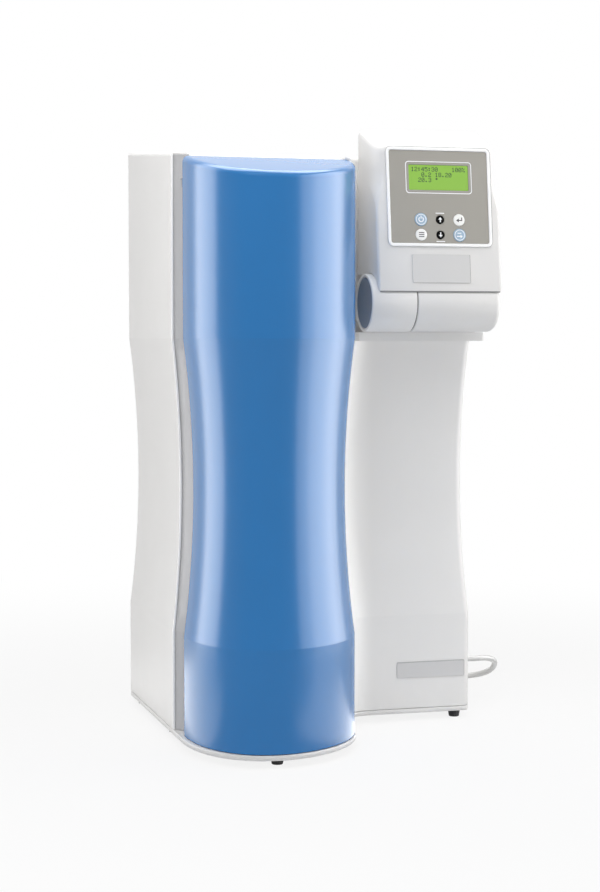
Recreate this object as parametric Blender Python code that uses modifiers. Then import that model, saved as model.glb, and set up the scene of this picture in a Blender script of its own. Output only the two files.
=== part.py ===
"""Bench water purification unit.

A waisted casing stands on five feet. A bulged door swings at its left front, a display head
with six keys tilts on a barrel hinge at its right front, and a hose loops at its right side.

Metres, +Z up. X runs from left to right and Y from front to back. The origin is the middle of
the outside box, on the surface that the feet stand on.
"""

import math

import bmesh
import bpy
from mathutils import Matrix, Vector

# Fits shared by all pieces
CLEAR = 0.0003
RUNNING_GAP = 0.0008
OVERRUN = 0.004
WALL = 0.003
THIN_WALL = 0.0025

# Casing
TOWER_WIDTH = 0.1102
SIDE_DEPTH = 0.226
TOWER_SETBACK = 0.0389
STRIP_SETBACK = 0.011
CASE_TOP_REAR = 0.6034
TOP_ANGLE = math.radians(5.0)
TOP_ROUND = 0.006
TOP_FLANGE = 0.003
COVER_THICKNESS = 0.003
CORNER_RADIUS = 0.012
REAR_RETURN = 0.014
SWEEP_RADIUS = 0.045

# Waist between the two creases
CREASE_LOW = 0.112
CREASE_HIGH = 0.402
WAIST_DEPTH = 0.010

# Bulge of the base and door, as two half super-ellipses about one centre
BULGE_LEFT = 0.0748
BULGE_RIGHT = 0.100
BULGE_DEPTH = 0.1073
BULGE_LEAD = 0.0387
LEFT_POWER = 2.25
RIGHT_POWER = 1.81

# Base and feet
FOOT_HEIGHT = 0.008
FOOT_TOP_RADIUS = 0.0065
FOOT_BOTTOM_RADIUS = 0.0055
FOOT_INSET = 0.013
FRONT_FOOT_INSET = 0.024
BASE_THICKNESS = 0.005

# Door
DOOR_INSET = 0.001
DOOR_EDGE_LEAD = 0.036
DOOR_TOP_DROP = 0.0027
DOOR_TOP_ANGLE = math.radians(11.3)
DOOR_TOP_ROUND = 0.006
DOOR_FLANGE = 0.013
HINGE_INSET = 0.009
HINGE_LEAD = 0.030
PIN_RADIUS = 0.002
PIN_FLANGE_RADIUS = 0.0035
PIN_FLANGE_THICKNESS = 0.002
PIN_LENGTH = 0.011
LUG_HEIGHT = 0.008
LUG_RADIUS = 0.004
LUG_LENGTH = 0.030
TOP_HINGE_BELOW_EDGE = 0.021
HINGE_PLATE_THICKNESS = 0.003
HINGE_PLATE_DEPTH = 0.020
CATCH_HEIGHT = 0.020
CATCH_DEPTH = 0.016
CATCH_WIDTH = 0.012
CATCH_ABOVE_CREASE = 0.030
STRIKE_DEPTH = 0.012

# Bay behind the door
BAY_SIDE_INSET = 0.018
BAY_SIDE_LEAD = 0.034
COVER_LEAD = 0.032
COVER_NOTCH = 0.014

# Hinge barrel of the head
BARREL_RADIUS = 0.029
BARREL_LEAD = 0.0136
BARREL_HEIGHT = 0.4375
BARREL_FROM_JAMB = 0.0198
KNUCKLE_LENGTH = 0.0469
BARREL_WALL = 0.0035
BARREL_END_ROUND = 0.005
SHAFT_RADIUS = 0.008
SOCKET_RADIUS = 0.012
SOCKET_DEPTH = 0.012
END_CAP_RADIUS = 0.0255
END_CAP_THICKNESS = 0.002
END_CAP_RECESS = 0.003
NECK_HEIGHT = 0.030
NECK_ABOVE_AXIS = 0.0125
LEDGE_THICKNESS = 0.009
LEDGE_SETBACK = 0.002
BRACKET_PLATE = 0.009
BRACKET_HEIGHT = 0.050

# Head, with its heights above the barrel's axis
HEAD_TOP_RISE = 0.1775
HEAD_FROM_JAMB = 0.0262
HEAD_OVERHANG = 0.002
HEAD_FRONT_LEAD = 0.042
HEAD_REAR_SETBACK = 0.027
HEAD_BOTTOM_RISE = 0.0115
HEAD_REAR_RISE = 0.029
HEAD_LEAN = math.radians(6.4)
HEAD_TOP_ANGLE = math.radians(22.0)
HEAD_SIDE_ROUND = 0.007
HEAD_FRONT_ROUND = 0.0015
SHOULDER_LOW_RISE = 0.0905
SHOULDER_HIGH_RISE = 0.1285
HEAD_CORNER_LOW = (0.003, 0.003)
HEAD_CORNER_HIGH = (0.011, 0.028)
HEAD_BACK_THICKNESS = 0.0025

# Keypad on the head's leaning face, measured up the face from its lower edge
PANEL_MARGIN = 0.0138
PANEL_RISE = 0.0482
PANEL_TOP_MARGIN = 0.0044
PANEL_THICKNESS = 0.001
PANEL_CORNER = 0.002
KEYPAD_OFFSET = 0.001
BEZEL_BORDER = 0.0042
BEZEL_THICKNESS = 0.0018
DISPLAY_MARGIN = 0.01745
DISPLAY_HEIGHT = 0.0310
DISPLAY_BELOW_TOP = 0.0122
DISPLAY_CORNER = 0.0015
KEY_PITCH = 0.02025
KEY_ROW_PITCH = 0.0153
KEY_ABOVE_PANEL = 0.0083
KEY_PROUD = 0.0006
KEY_LENGTH = 0.0038
ARROW_KEY_RADIUS = 0.0042
WHITE_KEY_RADIUS = 0.0059
BLUE_KEY_RADIUS = 0.0065
BOARD_THICKNESS = 0.0016
BOARD_MARGIN = 0.003
HEAD_PLATE_WIDTH = 0.061
HEAD_PLATE_HEIGHT = 0.0285
HEAD_PLATE_RISE = 0.0085
PLATE_THICKNESS = 0.0008
HEAD_PLATE_CORNER = 0.001

# Name plate low on the tower
NAME_PLATE_WIDTH = 0.0745
NAME_PLATE_HEIGHT = 0.016
NAME_PLATE_HEIGHT_ABOVE_GROUND = 0.0457
NAME_PLATE_FROM_RIGHT = 0.0072

# Hose loop at the right side
HOSE_RADIUS = 0.003175
HOSE_PORT_RADIUS = 0.007
HOSE_PORT_COLLAR_RADIUS = 0.005
HOSE_PORT_LENGTH = 0.020
HOSE_COLLAR_LENGTH = 0.005
HOSE_HIGH_PORT = (0.110, 0.0503)
HOSE_LOW_PORT = (0.160, 0.0220)
HOSE_ROUTE = (
    (0.3620, 0.1100, 0.0503),
    (0.3760, 0.1115, 0.0500),
    (0.3870, 0.1180, 0.0465),
    (0.3935, 0.1285, 0.0400),
    (0.3940, 0.1400, 0.0320),
    (0.3885, 0.1510, 0.0260),
    (0.3780, 0.1580, 0.0228),
    (0.3640, 0.1600, 0.0220),
)
HOSE_POINTS = 34

# Pretreatment cartridge in the bay
CARTRIDGE_RADIUS = 0.050
CARTRIDGE_BELOW_TOP = 0.1634
CARTRIDGE_SHOULDER = 0.018
CARTRIDGE_NECK_RADIUS = 0.016
CARTRIDGE_NECK = 0.014
CARTRIDGE_FROM_LEFT = 0.092
CARTRIDGE_LEAD = 0.056
CRADLE_HEIGHT = 0.026
CRADLE_WALL = 0.004
CARTRIDGE_HEAD_WIDTH = 0.064
CARTRIDGE_HEAD_HEIGHT = 0.036

# Pieces inside the casing
MODULE_RADIUS = 0.032
MODULE_HEIGHT = 0.400
MODULE_PITCH = 0.076
MODULE_FROM_LEFT = 0.062
MODULE_SETBACK = 0.120
MODULE_CAP = 0.022
MODULE_PORT_RADIUS = 0.008
MODULE_NECK_RADIUS = 0.0176
SADDLE_HEIGHT = 0.024
SADDLE_FLOOR = 0.004
SADDLE_MARGIN = 0.005
PUMP_RADIUS = 0.034
PUMP_LENGTH = 0.085
PUMP_HEAD_RADIUS = 0.038
PUMP_HEAD_LENGTH = 0.042
PUMP_FOOT_WIDTH = 0.050
PUMP_FOOT_HEIGHT = 0.012
PUMP_SETBACK = 0.070
PUMP_FROM_RIGHT = 0.075
MANIFOLD_WIDTH = 0.110
MANIFOLD_DEPTH = 0.030
MANIFOLD_HEIGHT = 0.024
MANIFOLD_RISE = 0.126
MANIFOLD_FROM_RIGHT = 0.030
VALVE_WIDTH = 0.026
VALVE_HEIGHT = 0.022
COIL_RADIUS = 0.012
COIL_HEIGHT = 0.030
CELL_RADIUS = 0.0065
CELL_LENGTH = 0.042
SUPPLY_SIZE = (0.100, 0.038, 0.105)
SUPPLY_BELOW_TOP = 0.045
SUPPLY_FROM_RIGHT = 0.030
CONTROL_BOARD_SIZE = (0.094, BOARD_THICKNESS, 0.098)

# Rear connections
INLET_WIDTH = 0.050
INLET_HEIGHT = 0.052
INLET_FLANGE = 0.003
INLET_RISE = 0.300
INLET_FROM_RIGHT = 0.080
SOCKET_WIDTH = 0.0245
SOCKET_HEIGHT = 0.0170
SOCKET_WELL = 0.014
ROCKER_WIDTH = 0.0190
ROCKER_HEIGHT = 0.0125
ROCKER_DEPTH = 0.009
ROCKER_PROUD = 0.002
ROCKER_TAPER = 0.0009
INLET_BODY_DEPTH = 0.018
REAR_PORT_RADIUS = 0.008
REAR_PORT_NUT = 0.005
SPIGOT_RADIUS = 0.0042
SPIGOT_LENGTH = 0.013
REAR_PORT_PITCH = 0.040
REAR_PORT_RISE = 0.070
REAR_PORT_FROM_LEFT = 0.070

# Steps of the curved shapes
WAIST_STEPS = 8
BULGE_STEPS = 13
ARC_STEPS = 5
SWEEP_STEPS = 8
ROCKER_STEPS = 10
ROUND_STEPS = 4
ROUTE_STEPS = 16
SMALL_TURN_STEPS = 16
TURN_STEPS = 32
BARREL_STEPS = 64
EDGE_SEGMENTS = 2
TUBE_RESOLUTION = 2
SMOOTH_BELOW = math.radians(35.0)
MERGE_DISTANCE = 0.000002

# Places worked out from the sizes above
CASE_WIDTH = BULGE_LEFT + BULGE_RIGHT + SWEEP_RADIUS + TOWER_WIDTH
OVERALL_WIDTH = CASE_WIDTH + HEAD_OVERHANG
OVERALL_DEPTH = SIDE_DEPTH + BULGE_LEAD + BULGE_DEPTH
LEFT = -OVERALL_WIDTH / 2
RIGHT = LEFT + CASE_WIDTH
REAR = OVERALL_DEPTH / 2
SIDE_FRONT = REAR - SIDE_DEPTH
TOWER_FRONT = SIDE_FRONT + TOWER_SETBACK
BAY_WALL = SIDE_FRONT + STRIP_SETBACK
DOOR_EDGE = SIDE_FRONT - DOOR_EDGE_LEAD
DOOR_TOP_AT_EDGE = CASE_TOP_REAR - (REAR - DOOR_EDGE) * math.tan(TOP_ANGLE) - DOOR_TOP_DROP
CARTRIDGE_HEIGHT = CASE_TOP_REAR - CARTRIDGE_BELOW_TOP
BULGE_X = LEFT + BULGE_LEFT
BULGE_Y = SIDE_FRONT - BULGE_LEAD
JAMB = BULGE_X + BULGE_RIGHT
FLOOR = FOOT_HEIGHT + BASE_THICKNESS
SEAT = FLOOR + CLEAR
REAR_PANEL = REAR - CORNER_RADIUS - WAIST_DEPTH - CLEAR
PANEL_INSIDE = REAR_PANEL - THIN_WALL
HINGE = Vector((LEFT + HINGE_INSET, SIDE_FRONT - HINGE_LEAD, SEAT))
BARREL = Vector((JAMB + BARREL_FROM_JAMB, SIDE_FRONT - BARREL_LEAD, BARREL_HEIGHT))
SEAM = BARREL.x + KNUCKLE_LENGTH
HEAD_TOP = BARREL_HEIGHT + HEAD_TOP_RISE
HEAD_BOTTOM = BARREL_HEIGHT + HEAD_BOTTOM_RISE
HEAD_REAR_BOTTOM = BARREL_HEIGHT + HEAD_REAR_RISE
SHOULDER_LOW = BARREL_HEIGHT + SHOULDER_LOW_RISE
SHOULDER_HIGH = BARREL_HEIGHT + SHOULDER_HIGH_RISE
HEAD_LEFT = JAMB + HEAD_FROM_JAMB
HEAD_RIGHT = RIGHT + HEAD_OVERHANG
HEAD_REAR = SIDE_FRONT + HEAD_REAR_SETBACK
FACE_FOOT = Vector(((HEAD_LEFT + HEAD_RIGHT) / 2 + KEYPAD_OFFSET,
                    SIDE_FRONT - HEAD_FRONT_LEAD, HEAD_BOTTOM))
FACE_TURN = Matrix.Rotation(-HEAD_LEAN, 4, "X")
FACE_HEIGHT = ((HEAD_TOP - HEAD_BOTTOM - (HEAD_REAR - FACE_FOOT.y) * math.tan(HEAD_TOP_ANGLE))
               / (1 - math.tan(HEAD_TOP_ANGLE) * math.tan(HEAD_LEAN)))
PANEL_WIDTH = HEAD_RIGHT - HEAD_LEFT - 2 * PANEL_MARGIN
PANEL_HEIGHT = FACE_HEIGHT / math.cos(HEAD_LEAN) - PANEL_RISE - PANEL_TOP_MARGIN
DISPLAY_WIDTH = PANEL_WIDTH - 2 * DISPLAY_MARGIN
DISPLAY_RISE = PANEL_RISE + PANEL_HEIGHT - DISPLAY_BELOW_TOP - DISPLAY_HEIGHT
KEY_RISE = PANEL_RISE + KEY_ABOVE_PANEL

SCENE = bpy.context.scene


def clear_scene():
    for obj in list(bpy.data.objects):
        bpy.data.objects.remove(obj, do_unlink=True)


def new_collection(name):
    collection = bpy.data.collections.new(name)
    SCENE.collection.children.link(collection)
    return collection


clear_scene()
PARTS = new_collection("water_purification_unit")
CUTTERS = new_collection("cutters")


def finish(name, colour, roughness, metallic=0.0):
    material = bpy.data.materials.new(name)
    material.use_nodes = True
    shader = material.node_tree.nodes["Principled BSDF"]
    shader.inputs["Base Color"].default_value = (*colour, 1.0)
    shader.inputs["Roughness"].default_value = roughness
    shader.inputs["Metallic"].default_value = metallic
    return material


WHITE = finish("white_casing", (0.78, 0.78, 0.77), 0.45)
BLUE = finish("blue_door", (0.06, 0.22, 0.62), 0.30)
GREY = finish("grey_plastic", (0.42, 0.41, 0.38), 0.5)
BLACK = finish("black_rubber", (0.02, 0.02, 0.02), 0.7)
STEEL = finish("steel", (0.60, 0.61, 0.62), 0.3, 1.0)
CAP_BLUE = finish("blue_grey_cap", (0.10, 0.16, 0.28), 0.4)
GLASS_GREEN = finish("green_display", (0.26, 0.60, 0.08), 0.25)
KEY_WHITE = finish("white_key", (0.90, 0.90, 0.90), 0.4)
KEY_BLUE = finish("light_blue_key", (0.35, 0.58, 0.85), 0.4)
BOARD_GREEN = finish("circuit_board", (0.03, 0.22, 0.09), 0.5)
CLEAR_BLUE = finish("cartridge_plastic", (0.55, 0.68, 0.78), 0.35)
BRASS = finish("brass", (0.72, 0.52, 0.20), 0.35, 1.0)
TUBE_WHITE = finish("white_tube", (0.86, 0.86, 0.86), 0.35)


def add(name, mesh, material, location=(0, 0, 0), rotation=None, group=PARTS):
    obj = bpy.data.objects.new(name, mesh)
    group.objects.link(obj)
    obj.location = location
    if rotation is not None:
        obj.rotation_euler = rotation.to_euler()
    if material is None:
        obj.hide_render = True
        obj.display_type = "WIRE"
    else:
        mesh.materials.clear()
        mesh.materials.append(material)
    return obj


def mesh_from(name, bm):
    mesh = bpy.data.meshes.new(name)
    bm.to_mesh(mesh)
    bm.free()
    mesh.shade_smooth()
    mesh.set_sharp_from_angle(angle=SMOOTH_BELOW)
    return mesh


def box(name, low, high, material, edge=0.0):
    """A block between two corners, with its edges rounded if a radius is given."""
    low, high = Vector(low), Vector(high)
    bm = bmesh.new()
    bmesh.ops.create_cube(bm, size=1.0)
    bmesh.ops.scale(bm, vec=high - low, verts=bm.verts)
    group = PARTS if material else CUTTERS
    obj = add(name, mesh_from(name, bm), material, (low + high) / 2, None, group)
    if edge:
        bevel = obj.modifiers.new("Edges", "BEVEL")
        bevel.width = edge
        bevel.segments = EDGE_SEGMENTS
    return obj


AXIS_TURN = {
    "X": Matrix.Rotation(math.pi / 2, 4, "Y"),
    "-X": Matrix.Rotation(-math.pi / 2, 4, "Y"),
    "Y": Matrix.Rotation(-math.pi / 2, 4, "X"),
    "-Y": Matrix.Rotation(math.pi / 2, 4, "X"),
    "Z": Matrix.Identity(4),
    "-Z": Matrix.Rotation(math.pi, 4, "X"),
}


def rod(name, radius, length, start, axis, material, end_radius=None, steps=TURN_STEPS):
    """A cylinder, or a cone, from its start along the axis."""
    bm = bmesh.new()
    bmesh.ops.create_cone(bm, cap_ends=True, segments=steps, radius1=radius,
                          radius2=end_radius or radius, depth=length)
    bmesh.ops.translate(bm, vec=(0, 0, length / 2), verts=bm.verts)
    group = PARTS if material else CUTTERS
    return add(name, mesh_from(name, bm), material, start, AXIS_TURN[axis], group)


def turned(name, profile, start, axis, material, closed=False, steps=TURN_STEPS):
    """A turned shape: (radius, height) points that run down its outer side."""
    mesh = bpy.data.meshes.new(name)
    points = [(radius, 0, height) for radius, height in profile]
    edges = [(i, i + 1) for i in range(len(points) - 1)]
    if closed:
        edges.append((len(points) - 1, 0))
    mesh.from_pydata(points, edges, [])
    group = PARTS if material else CUTTERS
    obj = add(name, mesh, material, start, AXIS_TURN[axis], group)
    screw = obj.modifiers.new("Turn", "SCREW")
    screw.steps = screw.render_steps = steps
    screw.use_merge_vertices = True
    screw.merge_threshold = MERGE_DISTANCE
    screw.use_smooth_shade = False
    return obj


def sheet(name, rows, thickness, material):
    """A wall as a grid of points, thickened inwards. Outside lies on the right of each row."""
    bm = bmesh.new()
    bmesh.ops.create_grid(bm, x_segments=len(rows[0]) - 1, y_segments=len(rows) - 1, size=1.0)
    for vert, point in zip(bm.verts, [point for row in rows for point in row]):
        vert.co = point
    obj = add(name, mesh_from(name, bm), material)
    solid = obj.modifiers.new("Thickness", "SOLIDIFY")
    solid.thickness = thickness
    solid.offset = -1.0
    solid.use_even_offset = True
    return obj


def stack(name, rings, material, location=(0, 0, 0)):
    """A closed solid through rings of points that run anticlockwise seen from above."""
    bm = bmesh.new()
    loops = [[bm.verts.new(Vector(p) - Vector(location)) for p in ring] for ring in rings]
    count = len(rings[0])
    for low, high in zip(loops, loops[1:]):
        for i in range(count):
            j = (i + 1) % count
            bm.faces.new((low[i], low[j], high[j], high[i]))
    bm.faces.new(reversed(loops[0]))
    bm.faces.new(loops[-1])
    group = PARTS if material else CUTTERS
    return add(name, mesh_from(name, bm), material, location, None, group)


def slab(name, outline, thickness, material, location=(0, 0, 0), rotation=None):
    """A flat outline in its own XY plane, extruded evenly to both sides of it."""
    curve = bpy.data.curves.new(name, "CURVE")
    curve.dimensions = "2D"
    curve.fill_mode = "BOTH"
    curve.extrude = thickness / 2
    spline = curve.splines.new("POLY")
    spline.points.add(len(outline) - 1)
    for point, (x, y) in zip(spline.points, outline):
        point.co = (x, y, 0, 1)
    spline.use_cyclic_u = True
    flat = add(name + "_outline", curve, material or WHITE)
    bpy.context.view_layer.update()
    mesh = bpy.data.meshes.new_from_object(flat.evaluated_get(bpy.context.evaluated_depsgraph_get()))
    bpy.data.objects.remove(flat)
    bm = bmesh.new()
    bm.from_mesh(mesh)
    bmesh.ops.remove_doubles(bm, verts=bm.verts, dist=MERGE_DISTANCE)
    bmesh.ops.recalc_face_normals(bm, faces=bm.faces)
    bpy.data.meshes.remove(mesh)
    group = PARTS if material else CUTTERS
    return add(name, mesh_from(name, bm), material, location, rotation, group)


def cut(obj, cutter, operation="DIFFERENCE"):
    boolean = obj.modifiers.new(cutter.name, "BOOLEAN")
    boolean.operation = operation
    boolean.object = cutter
    boolean.solver = "EXACT"
    return obj


def join(obj, other):
    """Fuses a hidden helper into a piece."""
    return cut(obj, other, "UNION")


def arc(centre, radius, start, end, steps=ARC_STEPS):
    angles = [start + (end - start) * i / steps for i in range(steps + 1)]
    return [(centre[0] + radius * math.cos(a), centre[1] + radius * math.sin(a)) for a in angles]


def rounded(width, height, corner):
    """A rounded rectangle about the origin."""
    x, y = width / 2 - corner, height / 2 - corner
    quarter = math.pi / 2
    points = []
    for turn, (cx, cy) in enumerate(((x, y), (-x, y), (-x, -y), (x, -y))):
        points += arc((cx, cy), corner, turn * quarter, (turn + 1) * quarter, ROUND_STEPS)
    return points


def waist(z):
    """How far the walls draw in at this height."""
    half = (CREASE_HIGH - CREASE_LOW) / 2
    off = z - (CREASE_HIGH + CREASE_LOW) / 2
    if abs(off) >= half:
        return 0.0
    radius = (half * half + WAIST_DEPTH * WAIST_DEPTH) / (2 * WAIST_DEPTH)
    return math.sqrt(radius * radius - off * off) - (radius - WAIST_DEPTH)


def waist_levels():
    span = CREASE_HIGH - CREASE_LOW
    return [CREASE_LOW + span * i / WAIST_STEPS for i in range(WAIST_STEPS + 1)]


def casing_top(y):
    return CASE_TOP_REAR - (REAR - y) * math.tan(TOP_ANGLE)


def inner_top(y):
    """Top of the walls that stand inside the casing, below its rounded upper edge."""
    return casing_top(y) - TOP_ROUND - CLEAR


def bulge(inset):
    """Plan of the bulge from its left side round the front to its right side."""
    turns = [math.pi / 2 * i / BULGE_STEPS for i in range(BULGE_STEPS + 1)]

    def side(turn, reach, power):
        across = max(math.cos(turn), 0.0) ** (2 / power)
        ahead = math.sin(turn) ** (2 / power)
        return BULGE_X + reach * across, BULGE_Y - (BULGE_DEPTH - inset) * ahead

    left = [side(turn, inset - BULGE_LEFT, LEFT_POWER) for turn in turns]
    right = [side(turn, BULGE_RIGHT - inset, RIGHT_POWER) for turn in reversed(turns[:-1])]
    return left + right


def bulge_side(y, inset, reach, power):
    """Where one side of the inset bulge lies at a depth; a negative reach is the left side."""
    share = max(BULGE_Y - y, 0.0) / (BULGE_DEPTH - inset)
    return BULGE_X + (reach - math.copysign(inset, reach)) * (1 - share ** power) ** (1 / power)


def waisted_rows(path, top, round_over):
    """Rows of a wall. Each point of the path has its x, y and the signs of its inset."""
    rows = []
    for z in [SEAT] + waist_levels():
        rows.append([(x + ix * waist(z), y + iy * waist(z), z) for x, y, ix, iy in path])
    plan = [Vector((x, y)) for x, y, _, _ in path]
    inwards = []
    for i, point in enumerate(plan):
        along = plan[min(i + 1, len(plan) - 1)] - plan[max(i - 1, 0)]
        inwards.append(Vector((-along.y, along.x)).normalized())
    turns = [math.pi / 2 * i / ROUND_STEPS for i in range(ROUND_STEPS + 1)] if round_over else [0.0]
    for turn in turns:
        row = []
        for point, inward in zip(plan, inwards):
            moved = point + inward * round_over * (1 - math.cos(turn))
            row.append((moved.x, moved.y, top(moved.y) - round_over * (1 - math.sin(turn))))
        rows.append(row)
    if round_over:
        ends = [point + inward * (round_over + TOP_FLANGE) for point, inward in zip(plan, inwards)]
        rows.append([(end.x, end.y, top(end.y)) for end in ends])
    return rows


def tower_plan(inset=0.0):
    """Concave sweep, tower front, right wall and rear corner, on the outside or inset."""
    sweep_y = TOWER_FRONT - SWEEP_RADIUS
    sweep = arc((JAMB + SWEEP_RADIUS, sweep_y), SWEEP_RADIUS + inset, math.pi, math.pi / 2, SWEEP_STEPS)
    r = CORNER_RADIUS
    front = arc((RIGHT - r, TOWER_FRONT + r), r - inset, -math.pi / 2, 0)
    back = arc((RIGHT - r, REAR - r), r - inset, 0, math.pi / 2)
    return sweep, front, back


def make_base():
    sweep, front, back = tower_plan()
    r = CORNER_RADIUS
    rear_left = arc((LEFT + r, REAR - r), r, math.pi / 2, math.pi)
    outline = rear_left + bulge(0.0) + sweep + front + back
    middle = FOOT_HEIGHT + BASE_THICKNESS / 2
    slab("base_tray", outline, BASE_THICKNESS, WHITE, (0, 0, middle))


def make_feet():
    left, right = LEFT + FOOT_INSET, RIGHT - FOOT_INSET
    rear = REAR - FOOT_INSET
    places = {
        "foot_front": (BULGE_X, BULGE_Y - BULGE_DEPTH + FRONT_FOOT_INSET),
        "foot_left_front": (left, TOWER_FRONT + FOOT_INSET),
        "foot_right_front": (right, TOWER_FRONT + FOOT_INSET),
        "foot_left_rear": (left, rear),
        "foot_right_rear": (right, rear),
    }
    for name, (x, y) in places.items():
        rod(name, FOOT_BOTTOM_RADIUS, FOOT_HEIGHT - CLEAR, (x, y, 0), "Z", BLACK,
            FOOT_TOP_RADIUS, SMALL_TURN_STEPS)


def make_casing():
    r = CORNER_RADIUS
    rear_left = arc((LEFT + r, REAR - r), r, math.pi / 2, math.pi)
    path = [(LEFT + r + REAR_RETURN, REAR, 1, -1)]
    path += [(x, y, 1, -1) for x, y in rear_left]
    path += [(LEFT, SIDE_FRONT, 1, 1)]
    sheet("left_shell", waisted_rows(path, casing_top, TOP_ROUND), WALL, WHITE)

    sweep, front, back = tower_plan()
    path = [(JAMB, DOOR_EDGE + RUNNING_GAP, -1, 0)]
    path += [(x, y, -1, 1) for x, y in sweep + front]
    path += [(x, y, -1, -1) for x, y in back]
    path += [(RIGHT - r - REAR_RETURN, REAR, -1, -1)]
    sheet("tower_shell", waisted_rows(path, casing_top, TOP_ROUND), WALL, WHITE)

    side = WALL + CLEAR
    levels = [SEAT] + waist_levels() + [inner_top(REAR_PANEL)]
    left_edge = [(LEFT + side + waist(z), z) for z in levels]
    right_edge = [(RIGHT - side - waist(z), z) for z in levels]
    upright = Matrix.Rotation(math.pi / 2, 4, "X")
    panel = slab("rear_panel", right_edge + left_edge[::-1], THIN_WALL, WHITE,
                 (0, REAR_PANEL - THIN_WALL / 2, 0), upright)
    inlet_x, inlet_z = RIGHT - INLET_FROM_RIGHT, INLET_RISE
    half = Vector((INLET_WIDTH / 2 - WALL, 0, INLET_HEIGHT / 2 - WALL))
    centre = Vector((inlet_x, REAR_PANEL - THIN_WALL / 2, inlet_z))
    grow = half + Vector((CLEAR, THIN_WALL / 2 + OVERRUN, CLEAR))
    cut(panel, box("inlet_hole", centre - grow, centre + grow, None))


def make_top_cover():
    edge = TOP_ROUND + TOP_FLANGE + CLEAR
    sweep, front, back = tower_plan(edge)
    r = CORNER_RADIUS
    rear_left = arc((LEFT + r, REAR - r), r - edge, math.pi / 2, math.pi)
    outline = rear_left + [
        (LEFT + edge, SIDE_FRONT + CLEAR),
        (LEFT + COVER_NOTCH, SIDE_FRONT + CLEAR),
        (LEFT + COVER_NOTCH, SIDE_FRONT - COVER_LEAD),
        (JAMB - edge, SIDE_FRONT - COVER_LEAD),
    ] + sweep + front + back
    thick = COVER_THICKNESS / math.cos(TOP_ANGLE)
    low = [(x, y, casing_top(y) - thick) for x, y in outline]
    high = [(x, y, casing_top(y)) for x, y in outline]
    stack("top_cover", [low, high], WHITE)


def make_bay():
    left, right = LEFT + WALL + CLEAR, JAMB - WALL - CLEAR
    path = [(left, BAY_WALL, 1, 1), (right, BAY_WALL, -1, 1)]
    sheet("bay_back_wall", waisted_rows(path, inner_top, 0.0), THIN_WALL, WHITE)
    x = LEFT + BAY_SIDE_INSET
    path = [(x, BAY_WALL - CLEAR, 1, 1), (x, SIDE_FRONT - BAY_SIDE_LEAD, 1, 0)]
    sheet("bay_side_wall", waisted_rows(path, inner_top, 0.0), THIN_WALL, WHITE)


def make_name_plate():
    right = RIGHT - NAME_PLATE_FROM_RIGHT
    back = TOWER_FRONT - CLEAR
    low = (right - NAME_PLATE_WIDTH, back - PLATE_THICKNESS, NAME_PLATE_HEIGHT_ABOVE_GROUND)
    high = (right, back, NAME_PLATE_HEIGHT_ABOVE_GROUND + NAME_PLATE_HEIGHT)
    box("name_plate", low, high, WHITE)


def door_top(y):
    return DOOR_TOP_AT_EDGE - (DOOR_EDGE - y) * math.tan(DOOR_TOP_ANGLE)


def door_rings(inset, bottom, drop, edge_y, rounding, flange=0.0):
    """Rings of the door's body, inset from its outer side, past a flange at its hinged edge."""

    def ring(extra, height_of):
        plan = bulge(DOOR_INSET + inset + extra)
        start = plan[0][0] + flange
        corner = [(start, edge_y), (start, BULGE_Y)] if flange else [(start, edge_y)]
        plan = corner + plan + [(plan[-1][0], edge_y)]
        return [(x, y, height_of(y)) for x, y in plan]

    rings = [ring(waist(z), lambda y, z=z: z) for z in [bottom] + waist_levels()]
    for i in range(ROUND_STEPS + 1):
        turn = math.pi / 2 * i / ROUND_STEPS
        lower = drop + rounding * (1 - math.sin(turn))
        rings.append(ring(rounding * (1 - math.cos(turn)), lambda y, d=lower: door_top(y) - d))
    return rings


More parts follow.
